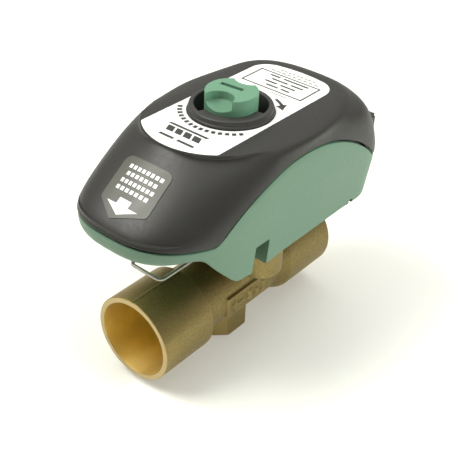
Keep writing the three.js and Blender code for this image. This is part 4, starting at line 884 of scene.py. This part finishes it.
def draped(name, shape, skin, offset, thickness, cell=0.6):
    """A convex flat shape laid over the nose, in (up the slope, across) from the label's lowest point."""
    apex, top = Vector((-57.1, 0, 74.3)), Vector((-40.6, 0, 87.2))
    along = (top - apex).normalized()
    normal = Vector((-along.z, 0, along.x))
    low = np.min(np.array(shape), 0)
    high = np.max(np.array(shape), 0)
    work = bmesh.new()
    columns = max(1, int(ceil((high[0] - low[0]) / cell)))
    rows = max(1, int(ceil((high[1] - low[1]) / cell)))
    climb = [mix(low[0], high[0], i / columns) for i in range(columns + 1)]
    across = [mix(low[1], high[1], j / rows) for j in range(rows + 1)]
    grid = [[work.verts.new((u, v, 0)) for v in across] for u in climb]
    for i in range(columns):
        for j in range(rows):
            work.faces.new((grid[i][j], grid[i + 1][j], grid[i + 1][j + 1], grid[i][j + 1]))
    for k, start in enumerate(shape):
        end = shape[(k + 1) % len(shape)]
        side = (end[1] - start[1], start[0] - end[0], 0)
        geometry = work.verts[:] + work.edges[:] + work.faces[:]
        bmesh.ops.bisect_plane(work, geom=geometry, plane_co=(*start, 0), plane_no=side, clear_outer=True)
    bmesh.ops.remove_doubles(work, verts=work.verts, dist=1e-4)
    work.verts.ensure_lookup_table()
    flat = [v.co.copy() for v in work.verts]
    faces = [tuple(v.index for v in f.verts) for f in work.faces]
    border = [(e.verts[0].index, e.verts[1].index) for e in work.edges if len(e.link_faces) == 1]
    work.free()
    lower, upper = [], []
    for co in flat:
        origin = apex + along * co.x + Vector((0, co.y, 0))
        hit, up, _, _ = skin.ray_cast(origin + normal * 12, -normal)
        hit = hit if hit is not None else origin
        up = up if up is not None else normal
        if up.dot(normal) < 0:
            up = -up
        lower.append(hit + up * offset)
        upper.append(hit + up * (offset + thickness))
    count = len(flat)
    all_faces = faces + [tuple(i + count for i in f) for f in faces]
    all_faces += [(a, b, b + count, a + count) for a, b in border]
    return mesh_object(name, [tuple(p) for p in lower + upper], all_faces)


def counter_clockwise(points):
    area = sum(a[0] * b[1] - b[0] * a[1] for a, b in zip(points, points[1:] + points[:1]))
    return points if area > 0 else points[::-1]


def nose_label(skin):
    flat = [(0.1, 1.2, 1.2), (5.4, -10.4, 1.4), (21.8, -9.5, 2.6), (21.8, 10.5, 2.6), (5.5, 9.5, 1.4)]
    shape = counter_clockwise([tuple(p) for p in rounded(flat, 5)])
    label = draped("nose_film", shape, skin, 0.08, 0.15)
    piece(label, GREY_LABEL_MAT, "actuator", "label_grey", "front_label")
    # a white arrow that points at the clip, and four rows of dashes
    shapes = [[(2.1, -0.3), (5.4, -6.7), (5.4, -0.3)], [(2.1, -0.3), (5.4, -0.3), (5.4, 6.3)]]
    shapes.append(bar(5.3, 7.7, -2.7, 2.2))
    rows = ((10.5, -7.3, 6.7, 7), (13.1, -7.7, 6.7, 8), (15.8, -7.1, 6.3, 7), (18.4, -7.9, 7.1, 8))
    for x, low, high, count in rows:
        for k in range(count):
            a, b = mix(low, high, (k + 0.14) / count), mix(low, high, (k + 0.8) / count)
            shapes.append(bar(x - 0.7, x + 0.7, a, b))
    parts = []
    for i, s in enumerate(shapes):
        s = counter_clockwise([tuple(p) for p in s])
        parts.append(draped(f"nose_mark_{i}", s, skin, 0.225, 0.03, 0.8))
    ink = joined(parts[0], *parts[1:])
    ink.name = "nose_label_print"
    piece(ink, WHITE_INK_MAT, "actuator", "label_grey")


# ---------- clip


def retaining_clip():
    """A bent wire: two legs and a cross bar with round bends."""
    front, half, bend, end = -42.8, 7.2, 2.2, 10.0
    route = [(end, -half)]
    for centre_y, start, stop in ((bend - half, -90, -180), (half - bend, 180, 90)):
        for k in range(13):
            a = radians(mix(start, stop, k / 12))
            route.append((front + bend + bend * cos(a), centre_y + bend * sin(a)))
    route.append((end, half))
    route = np.array(route)
    tips = (route[0] + [0.25, 0], route[-1] + [0.25, 0])
    route = np.vstack([tips[0], route, tips[1]])
    radii = [0.4] + [0.68] * (len(route) - 2) + [0.4]
    sides = 24
    points = []
    for i, (p, r) in enumerate(zip(route, radii)):
        ahead = route[min(i + 1, len(route) - 1)] - route[max(i - 1, 0)]
        ahead = ahead / np.linalg.norm(ahead)
        across = np.array([-ahead[1], ahead[0]])
        for k in range(sides):
            a = 2 * pi * k / sides
            points.append((*(p + across * r * cos(a)), CLIP_Z + r * sin(a)))
    last = (len(route) - 1) * sides
    faces = ring_faces(len(route), sides) + [tuple(range(sides)), tuple(range(last, last + sides))]
    clip = mesh_object("clip_wire", points, faces)
    piece(clip, STEEL_MAT, "clip", "steel", "retaining_clip", sharp=50)


# ---------- valve


def saddle():
    shape = []
    for side in (1, -1):
        for k in range(25):
            a = pi * k / 24 + (0 if side > 0 else pi)
            shape.append((cos(a), side * SADDLE_END_Y, sin(a)))
    levels = [(SADDLE_BOTTOM, 1.2), (SADDLE_BOTTOM + 1.2, 0), (SADDLE_TOP - 0.5, 0), (SADDLE_TOP, 0.5)]
    points = []
    for z, inset in levels:
        r = SADDLE_R - inset
        points += [(SADDLE_X + r * c, y + r * s, z) for c, y, s in shape]
    count = len(shape)
    last = count * (len(levels) - 1)
    faces = ring_faces(len(levels), count) + [tuple(range(count)), tuple(range(last, last + count))]
    return mesh_object("saddle", points, faces)


def cast_marks(side):
    """Raised marks on a side panel: an arrow for the waterway and three plain bars."""
    y0, y1 = side * (PANEL_Y - 0.3), side * (PANEL_Y + 0.8)
    head = [(-10.0, 21.7), (-12.4, 19.3), (-10.0, 16.9)]
    shapes = [head[1:] + [(-10.0, 18.7), (-5.4, 18.7), (-5.4, 19.9), (-10.0, 19.9)] + head[:1]]
    for x, height in ((-1.6, 4.6), (2.2, 3.4), (6.0, 4.6)):
        shapes.append([(x - 0.8, 17.0), (x + 0.8, 17.0), (x + 0.8, 17.0 + height), (x - 0.8, 17.0 + height)])
    return [prism("mark", s, min(y0, y1), max(y0, y1), axis="Y") for s in shapes]


def valve_body():
    profile = [(0, PARTING_X - 0.4), (BARREL_R, PARTING_X - 0.4), (BARREL_R, 17.4, 2.4)]
    profile += [(SOCKET_OUTER_R, 21.6, 3.0), (SOCKET_OUTER_R, REAR_END_X + 1), (0, REAR_END_X + 1)]
    body = lathe("valve_casting", profile, axis="X", segments=180)
    near = BOSS_HALF - BOSS_CHAMFER
    square = []
    for sx, sy in ((1, -1), (1, 1), (-1, 1), (-1, -1)):
        pair = [(sx * BOSS_HALF, sy * near), (sx * near, sy * BOSS_HALF)]
        square += pair if sx * sy > 0 else pair[::-1]
    boss = prism("boss", [(BOSS_X + u, v) for u, v in square], 0, 12)
    panel = box("panel", PANEL_X0, PANEL_X1, -PANEL_Y, PANEL_Y, PANEL_Z0, PANEL_Z1)
    root = rod("root", 9.5, 20, SADDLE_TOP - 0.1)
    web = box("web", SADDLE_X - 4, SADDLE_X + 4, -12, 12, 22, SADDLE_BOTTOM + 1)
    joined(body, boss, panel, root, web, saddle(), *cast_marks(-1), *cast_marks(1))
    soft(body, 0.36, 5)
    profile = [(0, 30), (NECK_R, 30), (NECK_R, CLIP_Z - 1, 0.2), (GROOVE_R, CLIP_Z - 1)]
    profile += [(GROOVE_R, CLIP_Z + 1), (NECK_R, CLIP_Z + 1, 0.2), (NECK_R, NECK_TOP, 0.6), (0, NECK_TOP)]
    boolean(body, "UNION", lathe("neck", profile))
    stop_x = REAR_END_X - SOCKET_DEPTH
    profile = [(0, PARTING_X - 3), (CAVITY_R, PARTING_X - 3), (CAVITY_R, SEAT_X + 0.3)]
    profile += [(WATERWAY_R, SEAT_X + 0.3), (WATERWAY_R, stop_x), (SOCKET_R, stop_x)]
    profile += [(SOCKET_R, REAR_END_X - 0.3), (SOCKET_R + 2, REAR_END_X + 1.7), (0, REAR_END_X + 1.7)]
    bores = lathe("bores", profile, axis="X", segments=160)
    profile = [(0, 19), (5.6, 19), (5.6, 33.6), (3.8, 33.6), (3.8, 60), (0, 60)]
    stem_way = lathe("stem_way", profile, segments=64)
    front_cut = box("front_cut", PARTING_X - 5, PARTING_X + 0.3, -20, 20, -5, 45)
    rear_cut = box("rear_cut", REAR_END_X, REAR_END_X + 5, -20, 20, -5, 45)
    floor_cut = box("floor_cut", -20, 20, -20, 20, -5, 0)
    boolean(body, "DIFFERENCE", bores, stem_way, front_cut, rear_cut, floor_cut)
    piece(body, BRASS, "valve", "brass_cast", "valve_body", sharp=48)

    def in_bore(p, n):
        r = hypot(p.y, p.z - AXIS_Z)
        inward = p.y * n.y + (p.z - AXIS_Z) * n.z < 0
        return r < CAVITY_R or (r < SOCKET_R + 0.02 and inward)

    paint(body, 1, in_bore)
    paint(body, 2, lambda p, n: n.x > 0.7 and p.x > REAR_END_X - 0.4)
    paint(body, 2, lambda p, n: p.z > SADDLE_TOP + 0.1)


def end_piece():
    spigot = CAVITY_R - 0.3
    stop_x, groove_r = FRONT_END_X + SOCKET_DEPTH, 9.5
    profile = [(WATERWAY_R, -SEAT_X - 0.3), (WATERWAY_R, stop_x), (SOCKET_R, stop_x)]
    profile += [(SOCKET_R, FRONT_END_X, 0.3), (SOCKET_OUTER_R, FRONT_END_X, 0.35), (SOCKET_OUTER_R, -38.0)]
    profile += [(SOCKET_OUTER_R, PARTING_X - 0.1, 0.9), (spigot, PARTING_X - 0.1), (spigot, -23.1)]
    profile += [(groove_r, -23.1), (groove_r, -20.9), (spigot, -20.9), (spigot, -SEAT_X - 0.3)]
    end = lathe("socket_end", profile, axis="X", segments=360)
    ridge_angle, ridge_width, ridge = radians(90), 0.03, 0.3
    for v in end.data.vertices:
        y, z = v.co.y / MM, v.co.z / MM - AXIS_Z
        r = hypot(y, z)
        if r > SOCKET_OUTER_R - 0.4:
            away = abs(atan2(z, y) - ridge_angle) / ridge_width
            lift = ridge * max(0, 1 - away) * (r > SOCKET_OUTER_R - 0.02)
            v.co.y += y / r * lift * MM
            v.co.z += z / r * lift * MM
    piece(end, BRASS, "valve", "brass_turned", "end_piece", sharp=30)
    paint(end, 1, lambda p, n: hypot(p.y, p.z - AXIS_Z) < SOCKET_R + 0.01 and p.x > FRONT_END_X + 0.05)
    paint(end, 2, lambda p, n: n.x < -0.9 and p.x < FRONT_END_X + 0.05)
    paint(end, 2, lambda p, n: p.x > PARTING_X)


def ball_and_stem():
    half_turn = np.linspace(-pi / 2, pi / 2, 49)
    arc = [(BALL_R * cos(a), AXIS_Z + BALL_R * sin(a)) for a in half_turn]
    ball = lathe("ball_sphere", arc, segments=96)
    way = rod("way", BALL_BORE_R, -12, 12, axis="X", segments=96)
    slot = box("ball_slot", -1.6, 1.6, -12, 12, 27, 32)
    boolean(ball, "DIFFERENCE", way, slot)
    piece(ball, CHROME_MAT, "ball_stem", "chrome_ball", "ball", sharp=30)
    low, high = corners("valve_stem")
    grooves = []
    for z in (37, 41):
        grooves += [(STEM_R, z - 0.75), (2.4, z - 0.75), (2.4, z + 0.75), (STEM_R, z + 0.75)]
    flange_r = 5.2
    profile = [(0, low[2]), (STEM_R, low[2]), (STEM_R, 31), (flange_r, 31, 0.15), (flange_r, 32.2, 0.15)]
    profile += [(STEM_R, 32.2)] + grooves + [(STEM_R, high[2], 0.4), (0, high[2])]
    stem = lathe("stem", profile, segments=72)
    cuts = []
    for half, z0, z1 in ((1.3, 20, 31), (2.4, 51, 60)):
        for side in (-1, 1):
            cuts.append(box("flat", *sorted((side * half, side * 9)), -9, 9, z0, z1))
    boolean(stem, "DIFFERENCE", *cuts)
    piece(stem, STEEL_MAT, "ball_stem", "steel", "valve_stem", sharp=30)
    for side, node in ((-1, "seat_front"), (1, "seat_rear")):
        bore, reach = BALL_BORE_R + 0.3, CAVITY_R - 0.3
        near = [(r, side * sqrt((BALL_R + 0.3) ** 2 - r**2)) for r in np.linspace(8.6, bore, 8)]
        back = [(bore, side * SEAT_X), (reach, side * SEAT_X), (reach, side * 6.2)]
        seat = lathe(f"{node}_ring", back + near, axis="X")
        piece(seat, SEAT_MAT, "valve", "seat_white", node)


# ---------- terminal block


def terminal_block():
    low, high = corners("terminal_block")
    block = box("terminals", low[0], high[0], low[1], high[1], low[2], high[2])
    tools = []
    for i in range(6):
        lever_low, lever_high = corners(f"terminal_lever_{i + 1}")
        y = (lever_low[1] + lever_high[1]) / 2
        tools.append(box("slot", 49.9, 60, y - 2.7, y + 2.7, 71.6, 80))
        hole = lathe("wire_hole", [(0, 0), (1.5, 0), (1.5, 6), (2.1, 6.9), (2.1, 9), (0, 9)], segments=32)
        tools.append(laid(hole, (49.2, y, 69.7), "Y"))
    boolean(block, "DIFFERENCE", *tools)
    bevelled(block, 0.22)
    piece(block, BLACK_MAT, "actuator", "black_plastic", "terminal_block")
    for i in range(6):
        node = f"terminal_lever_{i + 1}"
        lever_low, lever_high = corners(node)
        y = (lever_low[1] + lever_high[1]) / 2
        x0, x1, z0, z1 = lever_low[0], lever_high[0], 73.6, lever_high[2]
        side = [(x0, z0, 0.3), (x1 - 0.3, z0, 0.8), (x1, z0 + 0.9, 0.3), (x1, z1, 0.3), (x1 - 0.9, z1, 0.3)]
        side += [(x1 - 1.6, z1 - 0.6, 0.6), (x0, z1 - 0.6, 0.3)]
        lever = prism(f"lever_{i + 1}_arm", rounded(side, 3), y - 2.4, y + 2.4, axis="Y")
        bevelled(lever, 0.15)
        joined(lever, laid(rod("pin", 0.5, -3.4, 3.4, segments=24), (50.9, y, 74.9), "X"))
        piece(lever, BLACK_MAT, f"lever_{i + 1}", "black_plastic", node)


# ---------- carried-over nodes

SLOT_MATERIALS = {
    "brass_cast": CAST_MAT, "brass_turned": TURNED_MAT,
    "chrome_ball": CHROME_MAT, "steel": STEEL_MAT,
    "seat_white": SEAT_MAT, "rubber": RUBBER_MAT,
    "green_plastic": GREEN_MAT, "knob_green": KNOB_MAT,
    "charcoal_plastic": COVER_MAT, "black_plastic": BLACK_MAT,
    "label_white": LABEL_MAT, "label_grey": GREY_LABEL_MAT,
    "acetal": ACETAL_MAT, "board_green": BOARD_MAT,
    "sleeve": SLEEVE_MAT,
}


def dress_nodes():
    """Gives every CAD node that still shows its material and a fine edge."""
    for entry in frame["record"]["subparts"]:
        node = frame["nodes"][entry["node"]]
        node.data.materials.clear()
        node.data.materials.append(SLOT_MATERIALS[entry["material_slot"]])
        if not node.hide_render:
            bevel = node.modifiers.new("edge", "BEVEL")
            bevel.width = 0.08 * MM
            bevel.segments = 1
            bevel.limit_method = "ANGLE"
            bevel.angle_limit = radians(40)


# ---------- stage, light and camera


def area_light(name, place, target, size, energy, color=(1, 1, 1)):
    data = bpy.data.lights.new(name, "AREA")
    data.shape = "RECTANGLE"
    data.size, data.size_y = size
    data.energy = energy
    data.color = color
    light = bpy.data.objects.new(name, data)
    light.location = place
    light.rotation_euler = (Vector(target) - Vector(place)).to_track_quat("-Z", "Y").to_euler()
    scene.collection.objects.link(light)
    return light


def studio_world():
    """A white studio that is darker on the camera's side: its brightness only depends on the direction."""
    world = bpy.data.worlds.new("studio")
    world.use_nodes = True
    tree = world.node_tree
    direction = tree.nodes.new("ShaderNodeTexCoord").outputs["Generated"]
    facing = tree.nodes.new("ShaderNodeVectorMath")
    facing.operation = "DOT_PRODUCT"
    tree.links.new(direction, facing.inputs[0])
    facing.inputs[1].default_value = (0.55, 0.35, 0.75)
    share = tree.nodes.new("ShaderNodeMapRange")
    share.interpolation_type = "SMOOTHSTEP"
    tree.links.new(facing.outputs["Value"], share.inputs["Value"])
    for key, number in (("From Min", -0.5), ("From Max", 0.9), ("To Min", 0.06), ("To Max", 0.6)):
        share.inputs[key].default_value = number
    background = tree.nodes["Background"]
    background.inputs["Color"].default_value = (1.0, 0.985, 0.92, 1)
    tree.links.new(share.outputs["Result"], background.inputs["Strength"])
    return world


def stage():
    reach, drop = 4000, 0.1
    square = [(-reach, -reach, 0), (reach, -reach, 0), (reach, reach, 0), (-reach, reach, 0)]
    floor = mesh_object("floor", square, [(0, 1, 2, 3)])
    floor.location.z = -drop * MM
    m = Nodes("floor_paper", (0.88, 0.88, 0.87), 0.9)
    m.color(m.ramp(m.noise(6, 2), (0.875, 0.875, 0.82), (0.885, 0.885, 0.83)))
    floor.data.materials.append(m.material)
    scene.world = studio_world()
    area_light("key", (-0.43, 0.42, 0.85), (-0.03, 0, 0.06), (0.5, 0.5), 9, (1, 0.995, 0.94))
    area_light("overhead", (0.3, 0.1, 1.3), (0, 0, 0), (1.4, 1.4), 7)
    fill = area_light("side_fill", (0.5, -1.2, 0.65), (0, 0, 0.05), (1.0, 0.6), 18)
    fill.visible_glossy = False
    scene.view_settings.view_transform = "Standard"


def camera():
    azimuth, elevation, roll = (radians(a) for a in (-51.47, 34.68, 2.43))
    level = cos(elevation)
    back = Vector((sin(azimuth) * level, -cos(azimuth) * level, sin(elevation)))
    right = Vector((cos(azimuth), sin(azimuth), 0))
    up = back.cross(right)
    x_axis = right * cos(roll) + up * sin(roll)
    y_axis = up * cos(roll) - right * sin(roll)
    data = bpy.data.cameras.new("camera")
    data.lens = 70.09
    data.sensor_width = 36
    data.clip_start, data.clip_end = 0.01, 20
    view = bpy.data.objects.new("camera", data)
    turn = Matrix((x_axis, y_axis, back)).transposed().to_4x4()
    view.matrix_world = Matrix.Translation((-0.212396, -0.170435, 0.230112)) @ turn
    scene.collection.objects.link(view)
    scene.camera = view


def main():
    skin = cover()
    base_tray()
    override_knob()
    collar_ring()
    knob_spring()
    top_label()
    nose_label(skin)
    retaining_clip()
    valve_body()
    end_piece()
    ball_and_stem()
    terminal_block()
    dress_nodes()
    stage()
    camera()


main()
